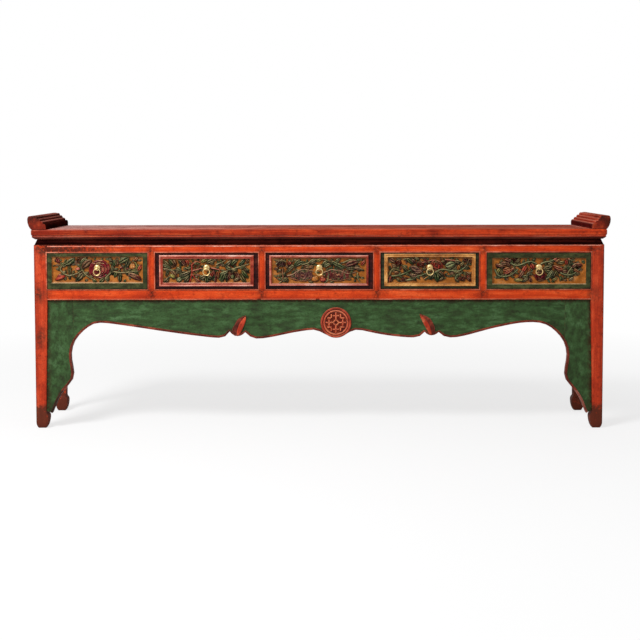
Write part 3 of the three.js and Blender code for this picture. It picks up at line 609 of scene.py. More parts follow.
# Side and back panels and the dust board: thin boards in the rails' grooves, the outer sides lacquered,
# the back and the inside left as planed softwood.
bare_board, given, out = effect(
    "planed_board",
    [("Early", "Color", white), ("Late", "Color", white), ("Grain", "Vector", (1, 1, 1))],
    [("Color", "Color"), ("Height", "Float")],
)
place = whereabouts(bare_board)
along = put(bare_board, "VectorMath", {0: place, 1: given["Grain"]}, operation="MULTIPLY").outputs[0]
rings = put(bare_board, "TexNoise", {"Vector": along, "Scale": 22, "Detail": 3, "Distortion": 0.8}).outputs[0]
rings = reckon(bare_board, "MULTIPLY", rings, 14.0)
rings = put(bare_board, "Math", {0: rings}, operation="FRACT").outputs[0]
fibre = noise(bare_board, along, 420, 4, 0.6)
stain = noise(bare_board, place, 6, 5)
colour = blended(bare_board, spread(bare_board, rings, 0.2, 0.95, 0, 0.8), given["Early"], given["Late"])
colour = blended(bare_board, spread(bare_board, fibre, 0.45, 0.75, 0, 0.5), colour, given["Late"])
colour = shaded(bare_board, colour, spread(bare_board, stain, 0.3, 0.7, 0.74, 1.12))
bare_board.links.new(colour, out["Color"])
height = put(bare_board, "Math", {0: fibre, 1: reckon(bare_board, "MULTIPLY", rings, 0.4)}).outputs[0]
bare_board.links.new(height, out["Height"])


def planed(name, early, late, grain):
    """Old planed wood with no finish, with painted shade in its corners."""
    material, tree, shader = fresh_material(name)
    tones = {"Early": tint(*early), "Late": tint(*late), "Grain": grain}
    board = put(tree, "Group", tones, node_tree=bare_board).outputs
    grime_and_shade = put(tree, "Group", {"Reach": 0.03}, node_tree=shade_and_dirt).outputs["ShadeAndDirt"]
    colour = blended(tree, reckon(tree, "MULTIPLY", grime_and_shade, 0.6), board["Color"], tint(40, 28, 20))
    dull = spread(tree, board["Height"], 0.3, 1.2, 0.62, 0.8)
    surfaced(tree, shader, colour, dull, board["Height"], 0.35, 0.0005)
    shader.inputs["Specular IOR Level"].default_value = 0.15
    return material


OLD_PINE = {"early": (158, 118, 78), "late": (104, 70, 42)}
bare_long = planed("bare_wood_long", **OLD_PINE, grain=(0.06, 1.0, 1.0))
bare_deep = planed("bare_wood_deep", **OLD_PINE, grain=(1.0, 0.06, 1.0))
for name in ("back_panel", "dust_board"):
    finished(name, bare_long, rounding=0.0006)
for name, side in (("side_panel_left", -1), ("side_panel_right", 1)):
    board = worked(name, rounding=0.0006)
    finish_by_place(board, (bare_deep, lacquer_deep), lambda centre, normal: int(normal.x * side > 0.3))

# The aprons: shaped boards painted green, the front one between two brackets with upright grain. The bead
# worked along the lower edge is brown, and the round boss is red. A band under the lower rail and strips
# beside the legs are darker, partly dirt and partly painted shadow from the rail and the legs, and the
# brackets darken near the feet.
GREEN = {"coat": (52, 80, 42), "deep": (40, 48, 28), "faded": (76, 106, 68), "bare": (92, 84, 54),
         "dark_tone": (50, 30, 16), "wear": (0.0012, 60.0), "gloss": 0.5}
green_long = coated("green_paint_long", **GREEN, grain=(0.30, 1.0, 1.0))
green_upright = coated("green_paint_upright", **GREEN, grain=(0.8, 1.0, 0.55))
green_deep = coated("green_paint_deep", **GREEN, grain=(1.0, 0.16, 1.0))
APRON_BEAD = {"grain": (0.4, 1.0, 0.4), "wear": (0.0022, 50.0)}
bead_brown = coated("apron_bead", coat=(112, 44, 32), deep=(58, 22, 16), faded=(164, 82, 58),
                    bare=(196, 108, 76), **APRON_BEAD)
boss_red = coated("boss_red", coat=(170, 66, 46), deep=(112, 34, 22), faded=(196, 100, 72),
                  grain=(0.6, 1.0, 0.6), bare=(220, 140, 104), wear=(0.0016, 60.0), reach=0.008, lit=0.4)
boss_ground = coated("boss_ground", coat=(104, 26, 12), deep=(66, 12, 6), faded=(144, 62, 26),
                     grain=(0.6, 1.0, 0.6), reach=0.008)
sooty_bead = coated("apron_bead_sooty", coat=(58, 34, 24), deep=(30, 18, 12), faded=(88, 56, 38),
                    bare=(120, 72, 52), **APRON_BEAD)
pale_edge = coated("apron_bead_rubbed", coat=(158, 92, 76), deep=(96, 44, 34), faded=(196, 136, 118),
                   bare=(208, 150, 132), **APRON_BEAD)
APRON_FACE = -0.1807
BOSS = Vector((0.0675, 0.419))
BOSS_RADIUS = 0.0605


def apron_place(centre, normal):
    """Green on the face, brown on the bead, another tone near its foot, and dark red on the boss."""
    from_boss = (Vector((centre.x, centre.z)) - BOSS).length
    if from_boss < BOSS_RADIUS and centre.y < APRON_FACE - 0.0005:
        return 3
    on_bead = centre.y < APRON_FACE - 0.0006 or abs(normal.y) < 0.8 and centre.z < 0.5
    return int(on_bead) * (2 if centre.z < 0.15 else 1)


for name, finish, low_bead in (("front_apron", green_long, bead_brown),
                               ("apron_bracket_left", green_upright, sooty_bead),
                               ("apron_bracket_right", green_upright, pale_edge)):
    board = worked(name, rounding=0.0006)
    cut_across(board, [0.495, 0.502], axis=2)
    # Darker under the lower rail and beside the legs, partly dirt and partly painted shadow from the rail and
    # the legs; the brackets are also darker near the feet.
    spots = [((0, 0, 0.5095), (ANY, ANY, 0.014), 1.5)]
    if name != "front_apron":
        side = -1 if name.endswith("left") else 1
        cut_across(board, [side * 1.054, side * 1.062, side * 1.068])
        cut_across(board, [0.15, 0.25, 0.35], axis=2)
        spots += [((side * 1.069, 0, 0.45), (0.016, ANY, 0.5), 1.5),
                  ((side * 1.077, 0, 0.10), (0.022, ANY, 0.3), 1.5)]
    mark_dark_spots(board, spots)
    finish_by_place(board, (finish, bead_brown, low_bead, boss_ground), apron_place)
for name in ("side_apron_left", "side_apron_right"):
    finished(name, green_deep, rounding=0.0008)

# The boss has two turned mouldings round a sunk field. In it stands a lattice of raised bars, mirrored both
# ways: a square, four arms that end in crossbars, and a corner piece between each pair of arms. The outer
# moulding is painted red, the rest salmon going to gold; all are rubbed on their crests, and carry a painted
# highlight on their upper sides.
LATTICE = [(-38, 0, -8, 0), (8, 0, 38, 0), (0, -38, 0, -8), (0, 8, 0, 38), (-8, -8, 8, -8), (-8, 8, 8, 8),
           (-8, -8, -8, 8), (8, -8, 8, 8)]
for x, z in ((1, 1), (1, -1), (-1, 1), (-1, -1)):
    LATTICE += [(x * 18, z * 18, x * 31, z * 18), (x * 18, z * 18, x * 18, z * 31),
                (x * 27, 0, x * 27, z * 10), (0, z * 27, x * 10, z * 27)]
HALF_BAR = 2.7
lattice_paint = coated("lattice_salmon", coat=(206, 98, 68), deep=(150, 60, 34), faded=(222, 142, 92),
                       grain=(0.5, 1.0, 0.5), bare=(236, 176, 140), wear=(0.0012, 90.0), reach=0.003, lit=0.5)
bars = []
for number, (x0, z0, x1, z1) in enumerate(LATTICE):
    low = (BOSS.x + (min(x0, x1) - HALF_BAR) / 1000, BOSS.y + (min(z0, z1) - HALF_BAR) / 1000)
    high = (BOSS.x + (max(x0, x1) + HALF_BAR) / 1000, BOSS.y + (max(z0, z1) + HALF_BAR) / 1000)
    bars.append(moulded(f"bar_{number}", low, high, APRON_FACE - 0.0006, 0.0038, 0.0012))
bpy.ops.object.select_all(action="DESELECT")
for bar in bars:
    bar.select_set(True)
bpy.context.view_layer.objects.active = bars[0]
bpy.ops.object.join()
bars[0].name = "boss_lattice"
fixed(bars[0], lattice_paint, "frame")
for label, radius, thick, proud, finish in (("outer", 0.0603, 0.0082, 0.0060, boss_red),
                                            ("inner", 0.0496, 0.0058, 0.0056, lattice_paint)):
    low, high = (BOSS.x - radius, BOSS.y - radius), (BOSS.x + radius, BOSS.y + radius)
    turned = moulded(f"boss_{label}_moulding", low, high, APRON_FACE + 0.0003, proud, 0.0024, hollow=thick,
                     sides=64)
    fixed(turned, finish, "frame")

# Five drawers: a carved and painted front on a plain box with a thin bottom. The two outer fronts are flat,
# with a bead round the field, painted cream along its foot as a highlight. The three inner ones have a sunk
# border, and a raised frame round the field with a moulding along both of its edges. On the second and third,
# the outer moulding's top, left and foot and the inner one's foot are painted pale pink as a highlight. A
# painted shadow darkens each front along its edges, beside the gap round it.
drawer_green = coated("drawer_green", coat=(60, 64, 34), deep=(30, 28, 16), faded=(86, 88, 52),
                      grain=(0.5, 1.0, 1.0), bare=(104, 98, 60), wear=(0.0015, 60.0), dark_tone=(26, 16, 10))
maroon_border = coated("maroon_border", coat=(50, 14, 14), deep=(20, 4, 6), faded=(92, 40, 32),
                       grain=(0.1, 1.0, 1.0), bare=(120, 60, 48), wear=(0.0015, 60.0))
RIM = {"grain": (0.2, 1.0, 0.5), "wear": (0.0016, 60.0)}
red_rim = coated("red_rim", coat=(158, 56, 38), deep=(100, 26, 18), faded=(190, 100, 76),
                 bare=(226, 164, 142), lit=0.5, **RIM)
# Painted highlight: the pink rim is the red rim painted paler, and the cream rim is the pale highlight along
# the foot of a flat front's field.
rim_painted_highlight = coated("rim_painted_highlight", coat=(224, 134, 110), deep=(150, 56, 42), faded=(244, 204, 188),
                  bare=(242, 206, 190), lit=0.85, **RIM)
dark_green_border = coated("dark_green_border", coat=(40, 46, 30), deep=(18, 20, 14),
                           faded=(70, 76, 48), grain=(0.1, 1.0, 1.0), bare=(120, 100, 70))
gold_rim = coated("gold_rim", coat=(212, 144, 72), deep=(120, 62, 24), faded=(236, 186, 116),
                  bare=(240, 206, 160), lit=0.5, **RIM)
cream_painted_highlight = coated("cream_painted_highlight", coat=(200, 168, 116), deep=(132, 98, 58), faded=(232, 212, 168),
                   bare=(240, 222, 184), lit=0.85, **RIM)
GOLD = {"coat": (172, 106, 40), "deep": (104, 56, 22), "faded": (200, 144, 70)}
ground = coated("gold_ground", **GOLD, grain=(0.4, 1.0, 0.6), bare=(214, 170, 110), relief=0.0008)
# the field's margins at the left, at the right, below and above, in millimetres
FIELD_MARGINS = [(18, 18, 26, 13), (29, 30, 25, 22), (23, 26, 22, 18), (26, 25, 23, 16), (21, 19, 20, 20)]
RIM_WIDTHS = [0, 14, 9, 12, 0]
GROUND_LEVEL, RIM_LEVEL, BACK_LEVEL = -0.1787, -0.1822, -0.172
FRONT_LOW, FRONT_HIGH = 0.552, 0.694
PLAY = 0.002  # each front is this much narrower than its opening
GAP_SHADOW = 0.003  # how far the painted shadow of the gap reaches in from the edges of a front
FLAT, BORDERED = (drawer_green,) * 3, (maroon_border, red_rim, rim_painted_highlight)
FRONT_FINISHES = [FLAT, BORDERED, BORDERED, (dark_green_border, gold_rim, gold_rim), FLAT]
fields = {}


def within(centre, field, around):
    """Whether a face lies in a field, or in a strip of the given width round it."""
    left, low, right, high = field
    return left - around < centre.x < right + around and low - around < centre.z < high + around


for number in range(1, 6):
    front = worked(f"drawer_{number}_front", rounding=0.0008)
    border, rim, edging = FRONT_FINISHES[number - 1]
    centre, width = OPENING_CENTRES[number - 1], OPENING_WIDTHS[number - 1] - PLAY
    left, right, below, above = [margin / 1000 for margin in FIELD_MARGINS[number - 1]]
    field = (centre - width / 2 + left, FRONT_LOW + below, centre + width / 2 - right, FRONT_HIGH - above)
    fields[number] = field
    around = RIM_WIDTHS[number - 1] / 1000

    def front_place(centre, normal):
        """Bare wood behind, gold in the field, the rim's finish round it, and the border's beyond that."""
        if centre.y > BACK_LEVEL:
            return 3
        if within(centre, field, 0.0005) and (centre.y > GROUND_LEVEL - 0.0003 or abs(normal.y) < 0.6):
            return 2
        return int(around > 0 and centre.y < RIM_LEVEL and within(centre, field, around))

    def moulding_place(centre, normal):
        """The foot of the field is the palest, as a painted highlight; the inner moulding and right side keep
        the rim's colour.
        """
        if centre.z < field[1] + 0.001:
            return int(not around)
        return 2 if around and (within(centre, field, 0.003) or centre.x > field[2] + 0.003) else 0

    ends = (centre - width / 2, centre + width / 2)
    cut_across(front, [ends[0] + GAP_SHADOW, ends[1] - GAP_SHADOW])
    cut_across(front, [FRONT_LOW + GAP_SHADOW, FRONT_HIGH - GAP_SHADOW], axis=2)
    # Painted shadow along the edges of the front, beside the gap round it.
    mark_dark_spots(front, [((end, FACE, 0.62), (GAP_SHADOW, 0.02, ANY), 1.5) for end in ends] +
           [((centre, FACE, level), (ANY, 0.02, GAP_SHADOW), 1.5) for level in (FRONT_LOW, FRONT_HIGH)])
    finish_by_place(front, (border, rim, ground, bare_long), front_place)
    if around:
        edges = [("outer", around - 0.0004, min(0.0055, around * 0.55), 0.0024),
                 ("inner", 0.0026, 0.0026, 0.0016)]
    else:
        edges = [("field", 0.0024, 0.0024, 0.0012)]
    for label, outside, thick, proud in edges:
        moulding = moulded(f"drawer_{number}_{label}_moulding", (field[0] - outside, field[1] - outside),
                           (field[2] + outside, field[3] + outside), BEDDED, proud, proud * 0.5,
                           hollow=thick)
        finish_by_place(moulding, (edging, cream_painted_highlight, rim), moulding_place)
        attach(moulding, f"drawer_{number}")
    finished(f"drawer_{number}_box", bare_deep, rounding=0.0008)
    finished(f"drawer_{number}_bottom", bare_long, rounding=0)

# The carving in the sunk fields: peonies, leaves, fruit and vines cut in relief and left standing on a gilt
# ground. Each leaf has two plump halves and a groove, each petal a curled lip. All were painted over gesso,
# which shows pale where the crests are rubbed; the same pale tone is a painted highlight on the crests and
# on the sides facing up, and painted shade blackens the hollows, the low parts and the undersides.
PAINTS = {
    "green": (50, 74, 32), "dark": (34, 46, 22), "teal": (32, 74, 40), "olive": (88, 80, 38),
    "lime": (140, 132, 54), "pale": (104, 116, 76), "stem": (126, 116, 74), "cream": (128, 112, 78),
    "gold": (172, 99, 29), "russet": (160, 76, 36), "brown": (106, 62, 36), "rosy": (150, 108, 84),
    "pink": (176, 84, 68), "red": (168, 48, 32), "spur": (188, 58, 32), "crimson": (132, 20, 34),
    "maroon": (98, 26, 26), "mauve": (104, 56, 52),
}
WIDER, HIGHER = 1.2, 1.6  # how much fuller the shapes are cut than their first sketch


def closed_relief(name):
    """Gives the shaped sheet in hand a wall down into the ground and a flat underside."""
    sheet = bpy.context.object
    sheet.name = name
    bpy.ops.object.mode_set(mode="EDIT")
    bpy.ops.mesh.select_all(action="SELECT")
    bpy.ops.mesh.extrude_region_move(TRANSFORM_OT_translate={"value": (0, 0, -0.01)})
    bpy.ops.object.mode_set(mode="OBJECT")
    for point in sheet.data.vertices:
        if point.select:
            point.co.z = -0.25
    bpy.ops.object.mode_set(mode="EDIT")
    bpy.ops.mesh.dissolve_limited(angle_limit=0.01)
    bpy.ops.mesh.select_all(action="SELECT")
    bpy.ops.mesh.normals_make_consistent(inside=False)
    bpy.ops.object.mode_set(mode="OBJECT")
    return sheet


def leaf_blank():
    """A leaf one long and two wide: two plump halves, a groove, faint side veins and a pointed tip."""
    bpy.ops.object.select_all(action="DESELECT")
    bpy.ops.mesh.primitive_grid_add(x_subdivisions=20, y_subdivisions=10, size=1)
    section = (0.46, 0.84, 1.0, 0.94, 0.72, 0.30)  # its height from the groove out to the edge
    for point in bpy.context.object.data.vertices:
        run, side = point.co.x + 0.5, point.co.y * 2
        step = round(abs(side) * 5)
        breadth = 2.05 * run ** 0.62 * (1 - run) ** 0.66
        vein = 0.06 * math.cos(2 * math.pi * (5 * run - 1.3 * abs(side))) if step in (1, 2, 3) else 0
        point.co.x = run
        point.co.y = side * breadth
        point.co.z = (section[step] + vein) * (0.55 + 0.45 * math.sin(math.pi * min(1, 0.1 + run)))
    return closed_relief("leaf_blank")


def petal_blank():
    """A petal one long: narrow at the heart, with a notched, curled outer lip."""
    bpy.ops.object.select_all(action="DESELECT")
    bpy.ops.mesh.primitive_grid_add(x_subdivisions=8, y_subdivisions=8, size=1)
    for point in bpy.context.object.data.vertices:
        run, side = point.co.x + 0.5, point.co.y * 2
        notch = 0.07 * math.exp(-((side / 0.22) ** 2)) * run
        lip = 1.0 if run > 0.8 else 0.24 + 0.42 * run
        point.co.x = run * (1 - 0.22 * side * side) - notch
        point.co.y = side * (0.26 + 0.46 * math.sin(math.pi * 0.5 * run ** 0.8))
        point.co.z = lip * (1 - 0.35 * abs(side) ** 3) + (0.18 if 0.6 < abs(side) < 0.9 and run > 0.2 else 0)
        if run > 0.95:
            point.co.z *= 0.6
    return closed_relief("petal_blank")


def bud_blank():
    """A closed bud one long: a plump drop with furrows between its wrapped petals."""
    bpy.ops.object.select_all(action="DESELECT")
    on_its_side = (0, math.radians(90), 0)
    bpy.ops.mesh.primitive_uv_sphere_add(segments=18, ring_count=12, radius=1, rotation=on_its_side)
    settle(bpy.context.object)
    for point in bpy.context.object.data.vertices:
        run = (point.co.x + 1) / 2
        turn = math.atan2(point.co.y, point.co.z)
        furrow = 1 - 0.22 * max(0, math.cos(3 * turn + 2.2 * run)) ** 3
        point.co.y *= furrow * (1.12 - 0.5 * run)
        point.co.z = max(-0.25, point.co.z * furrow * (1.05 - 0.35 * run))
        point.co.x = run
    bpy.context.object.name = "bud_blank"
    return bpy.context.object


def fruit_blank():
    """A fruit in half relief, with the crease of a peach and a dimple at its stalk."""
    bpy.ops.object.select_all(action="DESELECT")
    bpy.ops.mesh.primitive_uv_sphere_add(segments=24, ring_count=14, radius=1)
    for point in bpy.context.object.data.vertices:
        crease = 0.22 * math.exp(-(((point.co.x - 0.3 * point.co.y * point.co.y) / 0.12) ** 2))
        dimple = 0.3 * math.exp(-((point.co.x ** 2 + (point.co.y - 0.75) ** 2) / 0.05))
        point.co.z = max(-0.25, point.co.z - crease - dimple)
    bpy.context.object.name = "fruit_blank"
    return bpy.context.object


BLANKS = {"leaf": leaf_blank(), "petal": petal_blank(), "bud": bud_blank(), "fruit": fruit_blank()}
chance = random.Random(7)


def paint_over(piece, colour, raised=None, most=1.0):
    """Brushes one colour on a carved shape and marks how high each point stands."""
    unevenness = chance.uniform(0.82, 1.18) if raised is None else 1
    brushful = [part * unevenness for part in tint(*PAINTS[colour])[:3]] + [1]
    for spot in piece.data.color_attributes.new("paint", "FLOAT_COLOR", "POINT").data:
        spot.color = brushful
    top = max(point.co.z for point in piece.data.vertices)
    for point, mark in zip(piece.data.vertices, piece.data.attributes.new("raised", "FLOAT", "POINT").data):
        mark.value = min(most, point.co.z / top) if raised is None else raised
    return piece


def carve(kind, at, along, half, rise, colour, sag=0.0, lift=None, most=1.0):
    """Cuts one leaf, petal or bud from its blank: from at to along, in millimetres on the field."""
    blank = BLANKS[kind]
    piece = bpy.data.objects.new(kind, blank.data.copy())
    bpy.context.collection.objects.link(piece)
    if lift is None:
        lift = chance.uniform(-0.6, 1.0)
        half, rise = half * WIDER, rise * HIGHER
    start, end = Vector(at), Vector(along)
    line = end - start
    across = Vector((-line.y, line.x)).normalized()
    middle = (start + end) / 2 + across * sag
    for point in piece.data.vertices:
        run, side, high = point.co
        spot = start * (1 - run) ** 2 + middle * 2 * run * (1 - run) + end * run ** 2
        way = ((middle - start) * (1 - run) + (end - middle) * run).normalized()
        spot = spot + Vector((-way.y, way.x)) * side * half
        depth = high * rise + (lift if high > -0.2 else 0)
        point.co = (spot.x, spot.y, max(depth, -0.5))
    return paint_over(piece, colour, most=most)


def fruit(at, half, rise, colour, turned=0.0, tall=None):
    """Cuts one fruit or bead about its centre."""
    piece = bpy.data.objects.new("fruit", BLANKS["fruit"].data.copy())
    bpy.context.collection.objects.link(piece)
    turn = Matrix.Rotation(turned, 2)
    for point in piece.data.vertices:
        flat = turn @ Vector((point.co.x * half, point.co.y * (tall or half)))
        point.co = (at[0] + flat.x, at[1] + flat.y, max(point.co.z * rise * HIGHER, -0.5))
    return paint_over(piece, colour)


LEAF_GREENS = ("green", "dark", "teal", "green", "olive")
SPRIG_LOW, SPRIG_HIGH, SPRIG_SIDE = -54, 40, 166  # no sprig's tip goes beyond these
STEM_LEVEL = 3.2


def vine(points, thick, colour):
    """Lays a rounded, tapering stem through points of the field."""
    bpy.ops.object.select_all(action="DESELECT")
    bpy.ops.curve.primitive_nurbs_path_add()
    path = bpy.context.object
    path.data.splines.clear()
    line = path.data.splines.new("NURBS")
    line.points.add(len(points) - 1)
    for step, (point, knot) in enumerate(zip(points, line.points)):
        knot.co = (point[0], point[1], STEM_LEVEL, 1)
        knot.radius = 1 - 0.45 * step / max(1, len(points) - 1)
    line.order_u = min(3, len(points))
    line.use_endpoint_u = True
    line.resolution_u = 5
    path.data.bevel_depth = thick * 1.25
    path.data.bevel_resolution = 2
    path.data.use_fill_caps = True
    bpy.ops.object.convert(target="MESH")
    stem = paint_over(bpy.context.object, colour, most=0.94)
    sprigs = []
    for step in range(1, len(points) - 1):
        start = Vector(points[step])
        way = (Vector(points[step + 1]) - Vector(points[step - 1])).normalized()
        for side in (1, -1):
            end = start + Matrix.Rotation(side * chance.uniform(0.6, 1.2), 2) @ way * chance.uniform(13, 20)
            if SPRIG_LOW < end.y < SPRIG_HIGH and abs(end.x) < SPRIG_SIDE:
                sprigs.append(carve("leaf", start, end, 4.6, 3.4, chance.choice(LEAF_GREENS), side * 3))
    alone(stem)
    for sprig in sprigs:
        sprig.select_set(True)
    bpy.ops.object.join()
    return stem


def blossom(at, wide, tall, rise, colour, heart, petals=8):
    """A full flower: three rings of petals, each ring shorter and higher, about a beaded heart."""
    made = []
    rise *= HIGHER
    rings = ((1.0, petals, 0.0, 0.3), (0.74, petals - 1, 1.1, 0.7), (0.48, petals - 3, 2.0, 1.2))
    for share, count, lift, turned in rings:
        for number in range(count):
            angle = turned + 2 * math.pi * number / count
            reach = share * chance.uniform(0.92, 1.06)
            start = (at[0] + 0.16 * wide * math.cos(angle), at[1] + 0.16 * tall * math.sin(angle))
            end = (at[0] + wide * reach * math.cos(angle), at[1] + tall * reach * math.sin(angle))
            half = (wide + tall) / 2 * share * math.pi / count * 1.35
            high = lift * rise / 6
            made.append(carve("petal", start, end, half, rise * 0.62, colour, lift=high, most=0.84))
    for number in range(6):
        angle = number * math.pi / 3
        spot = (at[0] + 0.1 * wide * math.cos(angle), at[1] + 0.1 * tall * math.sin(angle))
        made.append(fruit(spot, 0.09 * wide, rise * 0.64, heart))
    return made


def undergrowth(low, high, count):
    """Small leaves cut low on the ground, under the larger forms, spread along the field."""
    made = []
    for number in range(count):
        column = (number + chance.uniform(0.1, 0.9)) / count
        across = low[0] + 8 + column * (high[0] - low[0] - 16)
        start = Vector((across, chance.uniform(low[1] + 8, high[1] - 8)))
        turned = chance.uniform(0, 2 * math.pi)
        end = start + Vector((math.cos(turned), 0.6 * math.sin(turned))) * chance.uniform(14, 26)
        end = Vector((min(max(end.x, low[0] + 3), high[0] - 3), min(max(end.y, low[1] + 3), high[1] - 3)))
        if (end - start).length > 9:
            colour = chance.choice(LEAF_GREENS + ("brown", "maroon", "dark"))
            half = chance.uniform(3.4, 5.4)
            made.append(carve("leaf", start, end, half, 2.0, colour, chance.uniform(-7, 7)))
    return made


def gilt_ground(low, high):
    """The ground left by the gouge: a sheet pitted by its strokes and coved up against the border."""
    bpy.ops.object.select_all(action="DESELECT")
    bpy.ops.mesh.primitive_grid_add(x_subdivisions=72, y_subdivisions=22, size=1)
    sheet = bpy.context.object
    sheet.name = "gilt_ground"
    for point in sheet.data.vertices:
        x, y = point.co.x + 0.5, point.co.y + 0.5
        edge = max(0, 1 - min(x * 72, (1 - x) * 72, y * 22, (1 - y) * 22) / 1.6)
        point.co.x = low[0] + x * (high[0] - low[0])
        point.co.y = low[1] + y * (high[1] - low[1])
        stroke = math.sin(point.co.x * 1.1 + 2 * math.sin(point.co.y * 0.23))
        point.co.z = 0.5 + 0.22 * stroke + 2.6 * edge ** 2
    return paint_over(sheet, "gold", raised=0.72)


FIELD_MIDDLE = 0.637


def joined(parts, name, centre, level=GROUND_LEVEL):
    """Joins the carved shapes of one field and stands them up on its ground."""
    bpy.ops.object.select_all(action="DESELECT")
    for part in parts:
        part.select_set(True)
    bpy.context.view_layer.objects.active = parts[0]
    bpy.ops.object.join()
    piece = bpy.context.object
    piece.name = name
    for point in piece.data.vertices:
        across, up, out = point.co
        point.co = (centre + across / 1000, level - out / 1000, FIELD_MIDDLE + up / 1000)
    bpy.ops.object.shade_smooth_by_angle(angle=math.radians(50))
    return piece


carved_paint, tree, shader = fresh_material("carved_paint")
coat = put(tree, "Attribute", attribute_name="paint").outputs["Color"]
raised = put(tree, "Attribute", attribute_name="raised").outputs["Fac"]
faded = blended(tree, 0.3, coat, tint(224, 182, 128))
coats = {"Coat": coat, "Deep": shaded(tree, coat, 0.5), "Faded": faded, "Grain": (0.6, 1, 0.8)}
body = put(tree, "Group", coats, node_tree=brushed).outputs
patchy = noise(tree, whereabouts(tree), 170, 5, 0.7)
grime_and_shade = put(tree, "Group", {"Reach": 0.009}, node_tree=shade_and_dirt).outputs["ShadeAndDirt"]
# Painted shade: the lower a point stands, the darker its colour.
hollow = spread(tree, raised, 0.70, 0.45, 0, 0.55)
colour = blended(tree, hollow, body["Color"], shaded(tree, coat, 0.28))
# The crests are rubbed to the gesso and that pale tone is painted on them as a highlight too; the sides
# facing up get it as a painted highlight.
crest = reckon(tree, "MULTIPLY", spread(tree, raised, 0.88, 0.97), spread(tree, patchy, 0.40, 0.60, 0, 0.6))
facing = facing_up(tree)
upper = reckon(tree, "MULTIPLY", spread(tree, facing, 0.42, 0.78), spread(tree, patchy, 0.38, 0.58, 0.3, 1.0))
upper = reckon(tree, "MULTIPLY", upper, spread(tree, raised, 0.25, 0.6))
gesso_and_highlight = blended(tree, 0.62, coat, tint(244, 210, 150))
colour = blended(tree, reckon(tree, "MAXIMUM", crest, upper), colour, gesso_and_highlight)
# Painted shade: corners, closed-in places, low parts and undersides go near black.
darkening = reckon(tree, "MAXIMUM", grime_and_shade, spread(tree, raised, 0.40, 0.12))
darkening = reckon(tree, "MAXIMUM", darkening, spread(tree, facing, -0.10, -0.60, 0, 0.95))
closed = put(tree, "AmbientOcclusion", {"Distance": 0.012}, samples=8, only_local=True).outputs["AO"]
darkening = reckon(tree, "MAXIMUM", darkening, spread(tree, closed, 0.86, 0.50, 0, 1))
colour = blended(tree, reckon(tree, "MULTIPLY", darkening, 0.93), colour, tint(22, 9, 6))
dull = spread(tree, body["Cloud"], 0.35, 0.7, 0.36, 0.55)
surfaced(tree, shader, colour, dull, body["Height"], 0.4, 0.0004)
shader.inputs["Specular IOR Level"].default_value = 0.15

